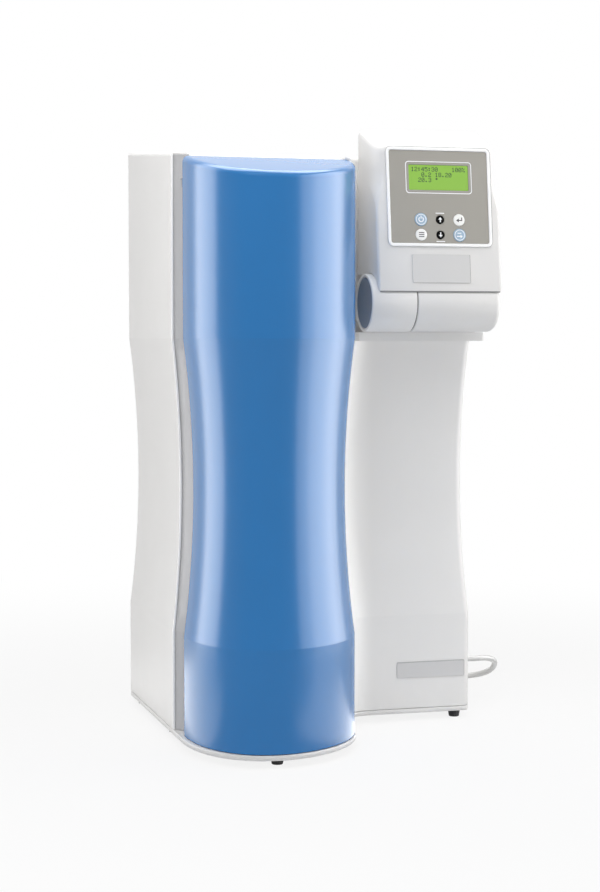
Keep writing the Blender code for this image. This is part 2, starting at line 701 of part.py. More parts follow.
def make_door(pivot):
    bottom = FLOOR + RUNNING_GAP
    door = stack("door_shell", door_rings(0.0, bottom, 0.0, DOOR_EDGE, DOOR_TOP_ROUND), BLUE, HINGE)
    hollow = stack("door_hollow", door_rings(WALL, bottom - OVERRUN, WALL, DOOR_EDGE + OVERRUN,
                                             DOOR_TOP_ROUND - WALL / 2, DOOR_FLANGE), None)
    cut(door, hollow)
    pieces = [door]

    inner_left = bulge_side(HINGE.y - LUG_LENGTH, DOOR_INSET + WALL, -BULGE_LEFT, LEFT_POWER) + CLEAR
    lug_bottom = SEAT + PIN_FLANGE_THICKNESS + CLEAR
    top_plate = door_top(DOOR_EDGE) - TOP_HINGE_BELOW_EDGE
    lug_top = top_plate - RUNNING_GAP - LUG_HEIGHT
    reach = HINGE.y - LUG_LENGTH
    for name, z in (("door_lug_bottom", lug_bottom), ("door_lug_top", lug_top)):
        lug = box(name, (inner_left, reach, z), (HINGE.x + LUG_RADIUS, HINGE.y, z + LUG_HEIGHT), BLUE)
        join(lug, rod(name + "_eye", LUG_RADIUS, LUG_HEIGHT, (HINGE.x, HINGE.y, z), "Z", None))
        cut(lug, rod(name + "_bore", PIN_RADIUS + CLEAR, LUG_HEIGHT + 2 * OVERRUN,
                     (HINGE.x, HINGE.y, z - OVERRUN), "Z", None))
        notch_rear = DOOR_EDGE + OVERRUN
        cut(door, box(name + "_notch", (inner_left - CLEAR, reach, z - CLEAR),
                      (HINGE.x + LUG_RADIUS + CLEAR, notch_rear, z + LUG_HEIGHT + CLEAR), None))
        pieces.append(lug)

    pin = rod("door_hinge_bottom", PIN_FLANGE_RADIUS, PIN_FLANGE_THICKNESS, HINGE, "Z", STEEL)
    join(pin, rod("bottom_pin", PIN_RADIUS, PIN_LENGTH + PIN_FLANGE_THICKNESS, HINGE, "Z", None))
    plate_low = (HINGE.x - PIN_FLANGE_RADIUS, HINGE.y - PIN_FLANGE_RADIUS, top_plate)
    plate_high = (LEFT + BAY_SIDE_INSET - CLEAR, HINGE.y - PIN_FLANGE_RADIUS + HINGE_PLATE_DEPTH,
                  top_plate + HINGE_PLATE_THICKNESS)
    plate = box("door_hinge_top", plate_low, plate_high, STEEL)
    join(plate, rod("top_pin", PIN_RADIUS, PIN_LENGTH + HINGE_PLATE_THICKNESS / 2,
                    (HINGE.x, HINGE.y, top_plate - PIN_LENGTH), "Z", None))

    catch_z = CREASE_HIGH + CATCH_ABOVE_CREASE
    catch_right = JAMB - WALL - CLEAR
    catch_front = DOOR_EDGE + WALL
    box("door_catch", (catch_right - CATCH_WIDTH, catch_front, catch_z),
        (catch_right, catch_front + CATCH_DEPTH, catch_z + CATCH_HEIGHT), GREY)
    strike_rear = catch_front - CLEAR
    strike_right = bulge_side(strike_rear - STRIKE_DEPTH, DOOR_INSET + WALL, BULGE_RIGHT, RIGHT_POWER)
    strike_right -= CLEAR
    pieces.append(box("door_strike", (strike_right - CATCH_WIDTH, strike_rear - STRIKE_DEPTH, catch_z),
                      (strike_right, strike_rear, catch_z + CATCH_HEIGHT), STEEL))
    keep_on(pivot, pieces)


def keep_on(pivot, pieces):
    """Parents the pieces to their pivot where they stand."""
    bpy.context.view_layer.update()
    for piece in pieces:
        piece.parent = pivot
        piece.matrix_parent_inverse = pivot.matrix_world.inverted()


def new_pivot(name, location, rotation=None):
    pivot = bpy.data.objects.new(name, None)
    pivot.location = location
    if rotation is not None:
        pivot.rotation_euler = rotation.to_euler()
    PARTS.objects.link(pivot)
    return pivot


def make_head_mount():
    """Ledge and back plate on the tower, fixed knuckle, its cap and the shaft."""
    right = RIGHT
    left = BARREL.x
    ledge_low = BARREL.z - BARREL_RADIUS - CLEAR - LEDGE_THICKNESS
    drawn_in = min(waist(ledge_low), waist(ledge_low + BRACKET_HEIGHT))
    back = TOWER_FRONT + drawn_in - CLEAR
    sweep_x, sweep_y = JAMB + SWEEP_RADIUS - drawn_in, TOWER_FRONT - SWEEP_RADIUS + drawn_in
    reach = SWEEP_RADIUS - CLEAR
    front = SIDE_FRONT + LEDGE_SETBACK
    plan = [(left, front), (right, front), (right, back)]
    plan += arc((sweep_x, sweep_y), reach, math.pi / 2, math.acos((left - sweep_x) / reach))
    bracket = slab("head_bracket", plan, LEDGE_THICKNESS, WHITE, (0, 0, ledge_low + LEDGE_THICKNESS / 2))
    join(bracket, box("bracket_plate", (sweep_x, back - BRACKET_PLATE, ledge_low + LEDGE_THICKNESS / 2),
                      (right, back, ledge_low + BRACKET_HEIGHT), None))

    length = KNUCKLE_LENGTH
    bore = SHAFT_RADIUS + CLEAR
    recess = END_CAP_RADIUS + CLEAR
    profile = ((BARREL_RADIUS, length), (BARREL_RADIUS, 0), (recess, 0), (recess, END_CAP_RECESS),
               (bore, END_CAP_RECESS), (bore, length))
    knuckle = turned("fixed_knuckle", profile, BARREL, "X", WHITE, closed=True, steps=BARREL_STEPS)
    neck_top = BARREL.z + NECK_ABOVE_AXIS
    neck_front = BARREL.y + (BARREL_RADIUS + bore) / 2
    join(knuckle, box("knuckle_neck", (left + WALL, neck_front, neck_top - NECK_HEIGHT),
                      (left + length - WALL, back - BRACKET_PLATE - CLEAR, neck_top), None))
    cap_at = BARREL + Vector((END_CAP_RECESS - END_CAP_THICKNESS - CLEAR, 0, 0))
    rod("knuckle_end_cap", END_CAP_RADIUS, END_CAP_THICKNESS, cap_at, "X", CAP_BLUE)
    start = END_CAP_RECESS + CLEAR
    stop = RIGHT - BARREL.x - BARREL_WALL - CLEAR
    rod("pivot_shaft", SHAFT_RADIUS, stop - start, BARREL + Vector((start, 0, 0)), "X", STEEL)


def make_head_barrel():
    """Moving barrel: a cup that opens to the left, with a web there and a socket at the right."""
    start = KNUCKLE_LENGTH + RUNNING_GAP
    length = RIGHT - BARREL.x - start
    bore = SHAFT_RADIUS + CLEAR + CLEAR
    inner = BARREL_RADIUS - BARREL_WALL
    web = length - BARREL_WALL
    r = BARREL_END_ROUND
    corner = [(BARREL_RADIUS - r + r * math.sin(a), length - r + r * math.cos(a))
              for a in (math.pi / 2 * i / ROUND_STEPS for i in range(ROUND_STEPS + 1))]
    profile = [(0, length)] + corner + [
        (BARREL_RADIUS, 0), (bore, 0), (bore, BARREL_WALL), (inner, BARREL_WALL), (inner, web),
        (SOCKET_RADIUS, web), (SOCKET_RADIUS, web - SOCKET_DEPTH), (bore, web - SOCKET_DEPTH),
        (bore, web), (0, web)]
    return turned("head_barrel", profile, BARREL + Vector((start, 0, 0)), "X", WHITE, steps=BARREL_STEPS)


def head_top(y):
    return HEAD_TOP - (HEAD_REAR - y) * math.tan(HEAD_TOP_ANGLE)


def face_y(z):
    return FACE_FOOT.y + (z - HEAD_BOTTOM) * math.tan(HEAD_LEAN)


def face_top(drop, behind):
    """Height where a plane behind the leaning face meets the sloping top, lowered by the drop."""
    rise = math.tan(HEAD_TOP_ANGLE)
    reach = HEAD_REAR - face_y(0) - behind
    return (HEAD_TOP - drop - reach * rise) / (1 - rise * math.tan(HEAD_LEAN))


def head_ring(z, inset, side, front, rear, height_of=None):
    """Plan of the head at a height: straight rear, front corners that soften towards the top."""
    share = (z - SHOULDER_LOW) / (SHOULDER_HIGH - SHOULDER_LOW)
    share = min(max(share, 0.0), 1.0)
    share = share * share * (3 - 2 * share)
    across, along = (a + (b - a) * share - inset / 2 for a, b in zip(HEAD_CORNER_LOW, HEAD_CORNER_HIGH))
    left, right = HEAD_LEFT + inset + side, HEAD_RIGHT - inset - side
    face = face_y(z) + inset + front
    turns = [math.pi / 2 * i / ROUND_STEPS for i in range(ROUND_STEPS + 1)]
    corner = [(across * (1 - math.cos(t)), face + along * (1 - math.sin(t))) for t in turns]
    ring = [(left, rear)] + [(left + x, y) for x, y in corner]
    ring += [(right - x, y) for x, y in reversed(corner)] + [(right, rear)]
    return [(x, y, height_of(y) if height_of else z) for x, y in ring]


def head_rings(inset, bottom, rear):
    step = (SHOULDER_HIGH - SHOULDER_LOW) / ROUND_STEPS
    levels = [bottom] + [SHOULDER_LOW + step * i for i in range(ROUND_STEPS + 1)]
    rings = [head_ring(z, inset, 0.0, 0.0, rear) for z in levels]
    side_round, front_round = HEAD_SIDE_ROUND - inset / 2, HEAD_FRONT_ROUND
    for i in range(ROUND_STEPS + 1):
        turn = math.pi / 2 * i / ROUND_STEPS
        lower = inset + side_round * (1 - math.sin(turn))
        side, front = side_round * (1 - math.cos(turn)), front_round * (1 - math.cos(turn))
        edge = face_top(lower, inset + front)
        rings.append(head_ring(edge, inset, side, front, rear, lambda y, d=lower: head_top(y) - d))
    return rings


def make_head_shell():
    rear = HEAD_REAR - HEAD_BACK_THICKNESS - CLEAR
    shell = stack("head_shell", head_rings(0.0, HEAD_BOTTOM, rear), WHITE, BARREL)
    hollow_floor = BARREL.z + BARREL_RADIUS + WALL + RUNNING_GAP
    cut(shell, stack("head_hollow", head_rings(WALL, hollow_floor, rear + OVERRUN), None))
    below = Vector((BARREL.x, BARREL.y, HEAD_BOTTOM - OVERRUN))
    cut(shell, box("head_underside", below - Vector((OVERRUN, 0, 0)),
                   (HEAD_RIGHT + OVERRUN, rear + OVERRUN, HEAD_REAR_BOTTOM), None))
    for name, start, stop, gap in (
        ("knuckle_room", BARREL.x - OVERRUN, SEAM + RUNNING_GAP / 2, RUNNING_GAP),
        ("barrel_room", SEAM + RUNNING_GAP / 2, HEAD_RIGHT + OVERRUN, CLEAR),
    ):
        at = (start, BARREL.y, BARREL.z)
        cut(shell, rod(name, BARREL_RADIUS + gap, stop - start, at, "X", None, steps=BARREL_STEPS))
    return shell


def face_point(across, rise, out):
    """A point over the leaning face: across it, up it and out from it."""
    return FACE_FOOT + FACE_TURN @ Vector((across, -out, rise))


UPRIGHT = FACE_TURN @ Matrix.Rotation(math.pi / 2, 4, "X")


def on_face(name, outline, rise, low, high, material, across=0.0):
    """A slab parallel to the leaning face, between two distances out from it."""
    at = face_point(across, rise, (low + high) / 2)
    return slab(name, outline, high - low, material, at, UPRIGHT)


def make_head_back():
    low = HEAD_REAR_BOTTOM
    r = HEAD_SIDE_ROUND
    left, right = HEAD_LEFT, HEAD_RIGHT
    top = head_top(HEAD_REAR - HEAD_BACK_THICKNESS)
    outline = [(right, low)] + arc((right - r, top - r), r, 0, math.pi / 2, ROUND_STEPS)
    outline += arc((left + r, top - r), r, math.pi / 2, math.pi, ROUND_STEPS) + [(left, low)]
    upright = Matrix.Rotation(math.pi / 2, 4, "X")
    return slab("head_back_cover", outline, HEAD_BACK_THICKNESS, WHITE,
                (0, HEAD_REAR - HEAD_BACK_THICKNESS / 2, 0), upright)


def key_places():
    """Name to (across, rise, radius, material)."""
    low = KEY_RISE
    high = KEY_RISE + KEY_ROW_PITCH
    return {
        "key_power": (-KEY_PITCH, high, BLUE_KEY_RADIUS, KEY_BLUE),
        "key_up": (0.0, high, ARROW_KEY_RADIUS, BLACK),
        "key_enter": (KEY_PITCH, high, WHITE_KEY_RADIUS, KEY_WHITE),
        "key_menu": (-KEY_PITCH, low, WHITE_KEY_RADIUS, KEY_WHITE),
        "key_down": (0.0, low, ARROW_KEY_RADIUS, BLACK),
        "key_flush": (KEY_PITCH, low, BLUE_KEY_RADIUS, KEY_BLUE),
    }


def make_keypad(shell):
    middle = PANEL_RISE + PANEL_HEIGHT / 2
    outer = rounded(PANEL_WIDTH + 2 * BEZEL_BORDER, PANEL_HEIGHT + 2 * BEZEL_BORDER,
                    PANEL_CORNER + BEZEL_BORDER)
    bezel = on_face("keypad_bezel", outer, middle, CLEAR, CLEAR + BEZEL_THICKNESS, WHITE)
    inner = rounded(PANEL_WIDTH + 2 * CLEAR, PANEL_HEIGHT + 2 * CLEAR, PANEL_CORNER + CLEAR)
    cut(bezel, on_face("bezel_window", inner, middle, -OVERRUN, OVERRUN, None))

    outline = rounded(PANEL_WIDTH, PANEL_HEIGHT, PANEL_CORNER)
    panel = on_face("keypad_panel", outline, middle, CLEAR, CLEAR + PANEL_THICKNESS, GREY)
    window = rounded(DISPLAY_WIDTH + 2 * CLEAR, DISPLAY_HEIGHT + 2 * CLEAR, DISPLAY_CORNER)
    display_middle = DISPLAY_RISE + DISPLAY_HEIGHT / 2
    board_front = -WALL - CLEAR
    opening = on_face("display_window", window, display_middle, board_front - OVERRUN, OVERRUN, None)
    cut(panel, opening)
    cut(shell, opening)
    display = rounded(DISPLAY_WIDTH, DISPLAY_HEIGHT, DISPLAY_CORNER)
    module = on_face("display_module", display, display_middle, board_front + CLEAR,
                     CLEAR + PANEL_THICKNESS, GLASS_GREEN)
    board = on_face("display_board",
                    rounded(PANEL_WIDTH - BOARD_MARGIN, PANEL_HEIGHT - BOARD_MARGIN, PANEL_CORNER),
                    middle, board_front - BOARD_THICKNESS, board_front, BOARD_GREEN)
    plate = on_face("head_plate", rounded(HEAD_PLATE_WIDTH, HEAD_PLATE_HEIGHT, HEAD_PLATE_CORNER),
                    HEAD_PLATE_RISE + HEAD_PLATE_HEIGHT / 2, CLEAR, CLEAR + PLATE_THICKNESS, WHITE)

    out = CLEAR + PANEL_THICKNESS + KEY_PROUD
    keys = []
    for name, (across, rise, radius, material) in key_places().items():
        key = disc_on_face(name, radius, across, rise, out - KEY_LENGTH, out, material)
        hole = disc_on_face(name + "_hole", radius + CLEAR, across, rise, board_front - OVERRUN,
                            OVERRUN, None)
        cut(panel, hole)
        cut(shell, hole)
        keys.append(key)
    return [bezel, panel, module, board, plate] + keys


def disc_on_face(name, radius, across, rise, low, high, material):
    bm = bmesh.new()
    bmesh.ops.create_cone(bm, cap_ends=True, segments=TURN_STEPS, radius1=radius, radius2=radius,
                          depth=high - low)
    group = PARTS if material else CUTTERS
    at = face_point(across, rise, (low + high) / 2)
    return add(name, mesh_from(name, bm), material, at, UPRIGHT, group)


def make_head(pivot):
    shell = make_head_shell()
    keep_on(pivot, [shell, make_head_back(), make_head_barrel()] + make_keypad(shell))


def make_cartridge():
    at = Vector((LEFT + CARTRIDGE_FROM_LEFT, SIDE_FRONT - CARTRIDGE_LEAD, SEAT))
    outer = CARTRIDGE_RADIUS + CLEAR + CRADLE_WALL
    inner = CARTRIDGE_RADIUS + CLEAR
    turned("cartridge_cradle", ((0, CRADLE_WALL), (inner, CRADLE_WALL), (inner, CRADLE_HEIGHT),
                                (outer, CRADLE_HEIGHT), (outer, 0), (0, 0)), at, "Z", GREY)
    top = CARTRIDGE_HEIGHT
    r = CARTRIDGE_SHOULDER
    shoulder = [(CARTRIDGE_RADIUS - r + r * math.sin(a), top - r + r * math.cos(a))
                for a in (math.pi / 2 * i / ROUND_STEPS for i in range(ROUND_STEPS + 1))]
    profile = [(0, top + CARTRIDGE_NECK), (CARTRIDGE_NECK_RADIUS, top + CARTRIDGE_NECK),
               (CARTRIDGE_NECK_RADIUS, top)] + shoulder + [(CARTRIDGE_RADIUS, 0), (0, 0)]
    foot = at + Vector((0, 0, CRADLE_WALL + CLEAR))
    turned("pretreatment_cartridge", profile, foot, "Z", CLEAR_BLUE)
    base = foot.z + top + CARTRIDGE_NECK + CLEAR
    half = CARTRIDGE_HEAD_WIDTH / 2
    box("cartridge_head", (at.x - half, at.y - half, base),
        (at.x + half, BAY_WALL - CLEAR, base + CARTRIDGE_HEAD_HEIGHT), GREY, WALL)


def make_modules():
    x, y = LEFT + MODULE_FROM_LEFT, SIDE_FRONT + MODULE_SETBACK
    reach = MODULE_RADIUS + SADDLE_MARGIN
    saddle = box("module_saddle", (x - reach, y - reach, SEAT),
                 (x + MODULE_PITCH + reach, y + reach, SEAT + SADDLE_HEIGHT), GREY)
    for i, name in enumerate(("osmosis_module_left", "osmosis_module_right")):
        at = Vector((x + i * MODULE_PITCH, y, SEAT + SADDLE_FLOOR))
        cut(saddle, rod(name + "_seat", MODULE_RADIUS + CLEAR, SADDLE_HEIGHT, at, "Z", None))
        profile = ((0, MODULE_HEIGHT + MODULE_CAP), (MODULE_PORT_RADIUS, MODULE_HEIGHT + MODULE_CAP),
                   (MODULE_PORT_RADIUS, MODULE_HEIGHT), (MODULE_NECK_RADIUS, MODULE_HEIGHT),
                   (MODULE_RADIUS, MODULE_HEIGHT - MODULE_CAP), (MODULE_RADIUS, 0), (0, 0))
        turned(name, profile, at + Vector((0, 0, CLEAR)), "Z", TUBE_WHITE)


def make_pump():
    x, y = RIGHT - PUMP_FROM_RIGHT, SIDE_FRONT + PUMP_SETBACK
    z = SEAT + PUMP_FOOT_HEIGHT + PUMP_HEAD_RADIUS
    head = rod("pump_head", PUMP_HEAD_RADIUS, PUMP_HEAD_LENGTH, (x, y, z), "Y", GREY)
    start = y + PUMP_HEAD_LENGTH + CLEAR
    motor = rod("pump_motor", PUMP_RADIUS, PUMP_LENGTH, (x, start, z), "Y", STEEL)
    half = PUMP_FOOT_WIDTH / 2
    for piece, name, front, length in ((head, "head_foot", y, PUMP_HEAD_LENGTH),
                                       (motor, "motor_foot", start, PUMP_LENGTH)):
        join(piece, box(name, (x - half, front, SEAT),
                        (x + half, front + length, z - PUMP_RADIUS / 2), None))


def make_valves():
    right = RIGHT - MANIFOLD_FROM_RIGHT
    left = right - MANIFOLD_WIDTH
    back = PANEL_INSIDE - CLEAR
    low, high = MANIFOLD_RISE, MANIFOLD_RISE + MANIFOLD_HEIGHT
    box("water_manifold", (left, back - MANIFOLD_DEPTH, low), (right, back, high), GREY)
    y = back - MANIFOLD_DEPTH / 2
    half = VALVE_WIDTH / 2
    for name, x in (("inlet_valve", left + VALVE_WIDTH), ("flush_valve", right - VALVE_WIDTH)):
        seat = high + CLEAR
        valve = box(name, (x - half, y - half, seat), (x + half, y + half, seat + VALVE_HEIGHT), BRASS)
        join(valve, rod(name + "_coil", COIL_RADIUS, COIL_HEIGHT + VALVE_HEIGHT / 2,
                        (x, y, seat + VALVE_HEIGHT / 2), "Z", None))
    middle = (left + right) / 2
    rod("conductivity_cell", CELL_RADIUS, CELL_LENGTH, (middle, y, high + CLEAR), "Z", GREY)


def make_electronics():
    size = Vector(SUPPLY_SIZE)
    low = Vector((RIGHT - SUPPLY_FROM_RIGHT - size.x, PANEL_INSIDE - CLEAR - size.y,
                  CASE_TOP_REAR - SUPPLY_BELOW_TOP - size.z))
    box("power_supply", low, low + size, STEEL)
    board = Vector(CONTROL_BOARD_SIZE)
    margin = (size - board) / 2
    start = Vector((low.x + margin.x, low.y - CLEAR - board.y, low.z + margin.z))
    box("control_board", start, start + board, BOARD_GREEN)


def make_rear_connections():
    x, z = RIGHT - INLET_FROM_RIGHT, INLET_RISE
    seat = REAR_PANEL + CLEAR
    half, tall = INLET_WIDTH / 2, INLET_HEIGHT / 2
    inlet = box("mains_inlet", (x - half, seat, z - tall),
                (x + half, seat + INLET_FLANGE, z + tall), BLACK)
    join(inlet, box("inlet_body", (x - half + WALL, seat - INLET_BODY_DEPTH, z - tall + WALL),
                    (x + half - WALL, seat + INLET_FLANGE / 2, z + tall - WALL), None))
    front = seat + INLET_FLANGE
    socket_z, rocker_z = z - tall / 2 + WALL / 2, z + tall / 2 + WALL / 2
    w, h = SOCKET_WIDTH / 2, SOCKET_HEIGHT / 2
    cut(inlet, box("socket_well", (x - w, front - SOCKET_WELL, socket_z - h),
                   (x + w, front + OVERRUN, socket_z + h), None))
    gap = RUNNING_GAP
    w, h = ROCKER_WIDTH / 2, ROCKER_HEIGHT / 2
    cut(inlet, box("rocker_well", (x - w - gap, front - ROCKER_DEPTH - gap, rocker_z - h - gap),
                   (x + w + gap, front + OVERRUN, rocker_z + h + gap), None))
    pivot = Vector((x, front - ROCKER_DEPTH / 2, rocker_z))
    r = ROCKER_DEPTH / 2
    outline = arc((0, 0), r, math.pi, 2 * math.pi, ROCKER_STEPS)
    outline += [(h - ROCKER_TAPER, ROCKER_PROUD + r), (0, r), (-h, r)]
    slab("power_switch", outline, ROCKER_WIDTH, BLACK, pivot, Matrix.Rotation(-math.pi / 2, 4, "Y"))

    for i, name in enumerate(("feed_port", "permeate_port", "drain_port")):
        at = Vector((LEFT + REAR_PORT_FROM_LEFT + i * REAR_PORT_PITCH, seat, REAR_PORT_RISE))
        profile = ((0, REAR_PORT_NUT + SPIGOT_LENGTH), (SPIGOT_RADIUS, REAR_PORT_NUT + SPIGOT_LENGTH),
                   (SPIGOT_RADIUS, REAR_PORT_NUT), (REAR_PORT_RADIUS, REAR_PORT_NUT),
                   (REAR_PORT_RADIUS, 0), (0, 0))
        turned(name, profile, at, "Y", TUBE_WHITE, steps=SMALL_TURN_STEPS)


def smooth_route(points, count):
    """Evenly spaced points on a smooth curve through the given ones."""
    knots = [2 * points[0] - points[1]] + points + [2 * points[-1] - points[-2]]
    fine = []
    for i in range(1, len(knots) - 2):
        a, b, c, d = knots[i - 1:i + 3]
        for j in range(ROUTE_STEPS):
            t = j / ROUTE_STEPS
            fine.append(0.5 * (2 * b + (c - a) * t + (2 * a - 5 * b + 4 * c - d) * t * t
                               + (3 * b - 3 * c + d - a) * t * t * t))
    fine.append(knots[-2])
    total = [0.0]
    for p, q in zip(fine, fine[1:]):
        total.append(total[-1] + (q - p).length)
    even, j = [], 0
    for i in range(count):
        want = total[-1] * i / (count - 1)
        while j < len(fine) - 2 and total[j + 1] < want:
            j += 1
        share = (want - total[j]) / (total[j + 1] - total[j])
        even.append(fine[j].lerp(fine[j + 1], share))
    return even


def make_hose():
    ends = []
    for name, (setback, z) in (("hose_port_high", HOSE_HIGH_PORT), ("hose_port_low", HOSE_LOW_PORT)):
        body = HOSE_PORT_LENGTH - HOSE_COLLAR_LENGTH
        profile = ((0, HOSE_PORT_LENGTH), (HOSE_PORT_COLLAR_RADIUS, HOSE_PORT_LENGTH),
                   (HOSE_PORT_COLLAR_RADIUS, body), (HOSE_PORT_RADIUS, body),
                   (HOSE_PORT_RADIUS, 0), (0, 0))
        at = Vector((RIGHT + CLEAR, SIDE_FRONT + setback, z))
        turned(name, profile, at, "X", GREY, steps=SMALL_TURN_STEPS)
        ends.append(at + Vector((HOSE_PORT_LENGTH + CLEAR, 0, 0)))
    route = [Vector((LEFT + x, SIDE_FRONT + y, z)) for x, y, z in HOSE_ROUTE]
    points = smooth_route([ends[0]] + route + [ends[1]], HOSE_POINTS)
    curve = bpy.data.curves.new("link_hose", "CURVE")
    curve.dimensions = "3D"
    curve.bevel_depth = HOSE_RADIUS
    curve.bevel_resolution = TUBE_RESOLUTION
    curve.use_fill_caps = True
    spline = curve.splines.new("POLY")
    spline.points.add(len(points) - 1)
    for point, place in zip(spline.points, points):
        point.co = (*place, 1)
    add("link_hose", curve, TUBE_WHITE)


def main():
    make_base()
    make_feet()
    make_casing()
    make_top_cover()
    make_bay()
    make_name_plate()
    make_door(new_pivot("door_pivot", HINGE))
    make_head_mount()
    make_head(new_pivot("head_pivot", BARREL))
    make_cartridge()
    make_modules()
    make_pump()
    make_valves()
    make_electronics()
    make_rear_connections()
    make_hose()


main()
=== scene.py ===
"""Studio model of a bench-top water purification unit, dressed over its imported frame."""

import math

import bmesh
import bpy
from bpy.props import FloatProperty, FloatVectorProperty, IntProperty, PointerProperty
from mathutils import Matrix, Vector


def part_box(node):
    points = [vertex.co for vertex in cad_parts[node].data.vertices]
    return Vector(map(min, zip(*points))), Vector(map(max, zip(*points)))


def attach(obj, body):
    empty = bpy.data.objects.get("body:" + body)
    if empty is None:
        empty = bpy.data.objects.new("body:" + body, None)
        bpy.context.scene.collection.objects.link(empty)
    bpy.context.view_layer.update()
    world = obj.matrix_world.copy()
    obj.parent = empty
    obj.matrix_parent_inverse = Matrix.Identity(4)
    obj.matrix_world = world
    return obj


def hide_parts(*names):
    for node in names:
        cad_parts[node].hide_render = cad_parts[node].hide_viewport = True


bl_info = {
    "name": "Water Purification Unit",
    "version": (1, 0, 0),
    "blender": (4, 5, 0),
    "location": "View3D > Sidebar > Water Unit",
    "description": "Builds a bench-top water purification unit with its door, tilting head "
                   "and keys",
    "category": "Add Mesh",
}

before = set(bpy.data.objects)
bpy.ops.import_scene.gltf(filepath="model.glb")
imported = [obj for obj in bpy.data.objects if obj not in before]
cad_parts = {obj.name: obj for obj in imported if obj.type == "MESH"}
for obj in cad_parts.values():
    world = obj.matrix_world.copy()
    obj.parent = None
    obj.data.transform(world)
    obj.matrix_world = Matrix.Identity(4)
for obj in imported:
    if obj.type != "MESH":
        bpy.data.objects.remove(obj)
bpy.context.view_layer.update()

FULL, QUARTER = 2 * math.pi, math.pi / 2
CLEAR = 0.0003

# Casing, in metres
LEFT, RIGHT, REAR = -0.166, 0.164, 0.186
SIDE_FRONT, TOWER_FRONT = -0.040, -0.0011
BAY_WALL, DOOR_EDGE, REAR_PANEL = -0.029, -0.076, 0.1637
JAMB, SEAT = 0.0088, 0.0133
WALL, INNER_WALL = 0.003, 0.0025
CORNER_RADIUS, SEEN_CORNER, SWEEP_RADIUS, REAR_RETURN = 0.012, 0.0076, 0.045, 0.014
TOP_REAR, TOP_ANGLE = 0.6034, math.radians(5.0)
TOP_ROUND, TOP_FLANGE = 0.004, 0.003
COVER_THICKNESS = 0.003
COVER_DEPTH = COVER_THICKNESS / math.cos(TOP_ANGLE)
COVER_LEAD, COVER_NOTCH, LIP_DROP = 0.0070, 0.014, 0.0031
TRAY_LOW, TRAY_HIGH = 0.008, 0.013
FEET = {
    "foot_front": (-0.0912, -0.162), "foot_left_front": (-0.153, 0.0119),
    "foot_right_front": (0.151, 0.0119), "foot_left_rear": (-0.153, 0.173),
    "foot_right_rear": (0.151, 0.173),
}
FOOT_RADII, FOOT_ROUND, FOOT_TOP = (0.0055, 0.0065), 0.0008, 0.0077

# Waist between the two creases, and the shares of it that the outer corners take
CREASE_LOW, CREASE_HIGH, WAIST_DEPTH = 0.112, 0.402, 0.010
CORNER_WAIST, RIGHT_WAIST = 0.8, -0.7

# Bulge of the base and door
BULGE = Vector((-0.0912, -0.0787))
BULGE_LEFT, BULGE_RIGHT, BULGE_DEPTH = 0.0748, 0.100, 0.1073
LEFT_POWER, RIGHT_POWER = 2.25, 1.81
DOOR_INSET, DOOR_LEFT_INSET, DOOR_FLANGE, DOOR_BOTTOM = 0.001, 0.0028, 0.013, 0.0138
DOOR_TOP_AT_EDGE = TOP_REAR - (REAR - DOOR_EDGE) * math.tan(TOP_ANGLE) - 0.0027
DOOR_TOP_ANGLE = math.radians(11.3)
OVERRUN = 0.004

# Hinge barrel and ledge of the head
BARREL = Vector((0.0286, -0.0536, 0.4375))
BARREL_RADIUS, BARREL_WALL, BARREL_FILLET = 0.029, 0.0035, 0.006
KNUCKLE_LENGTH, SEAM_GAP, BARREL_START = 0.0469, 0.0008, 0.0005
SHAFT_BORE, BARREL_BORE, END_CAP_RADIUS = 0.0083, 0.0086, 0.0255
LEDGE_LOW, LEDGE_HIGH, LEDGE_FRONT, LEDGE_CORNER = 0.3992, 0.4082, -0.038, 0.003
BRACKET_TOP, BRACKET_PLATE = 0.4492, 0.009
NECK_LOW, NECK_HIGH = 0.4200, 0.4500

# Head
HEAD_LEFT, HEAD_RIGHT, HEAD_REAR = 0.035, 0.166, -0.013
HEAD_TOP, HEAD_BOTTOM, HEAD_REAR_BOTTOM = 0.615, 0.449, 0.4665
HEAD_LEAN, HEAD_TOP_ANGLE = math.radians(6.4), math.radians(22.0)
HEAD_SIDE_ROUND, HEAD_FRONT_ROUND = 0.007, 0.0015
SHOULDER_LOW, SHOULDER_HIGH = 0.528, 0.566
CORNER_LOW, CORNER_HIGH = (0.003, 0.003), (0.011, 0.028)
HEAD_BACK_THICKNESS = 0.0025

# Keypad, in the face's own across, up and out. Sizes are across and up
PANEL, PANEL_RISE, PANEL_TOP = (0.1034, 0.0930), 0.0482, CLEAR + 0.001
DISPLAY, DISPLAY_RISE = (0.0685, 0.0310), 0.0980
WINDOW, WINDOW_RISE = (0.0633, 0.0256), 0.0008
HEAD_PLATE, HEAD_PLATE_RISE = (0.061, 0.0285), 0.0085
# Shift and foot of grey plates behind the bezel and plates: painted shadow lines along their top
# and right
SHADOW_LINE_SHIFT, SHADOW_LINE_FOOT = 0.0005, 0.00005
KEY_PITCH, KEY_TOP, KEY_LENGTH = 0.02025, 0.0019, 0.0038
KEY_LOW_ROW, KEY_HIGH_ROW = 0.0565, 0.0565 + 0.0153
KEY_LINE, KEY_LINE_OFF = (0.0092, 0.0009), 0.0066
# Keys: across, up, radius, finish
KEYS = {
    "key_power": (-KEY_PITCH, KEY_HIGH_ROW, 0.0065, "key_blue"),
    "key_up": (0.0, KEY_HIGH_ROW, 0.0042, "key_black"),
    "key_enter": (KEY_PITCH, KEY_HIGH_ROW, 0.0059, "key_white"),
    "key_menu": (-KEY_PITCH, KEY_LOW_ROW, 0.0059, "key_white"),
    "key_down": (0.0, KEY_LOW_ROW, 0.0042, "key_black"),
    "key_flush": (KEY_PITCH, KEY_LOW_ROW, 0.0065, "key_blue"),
}

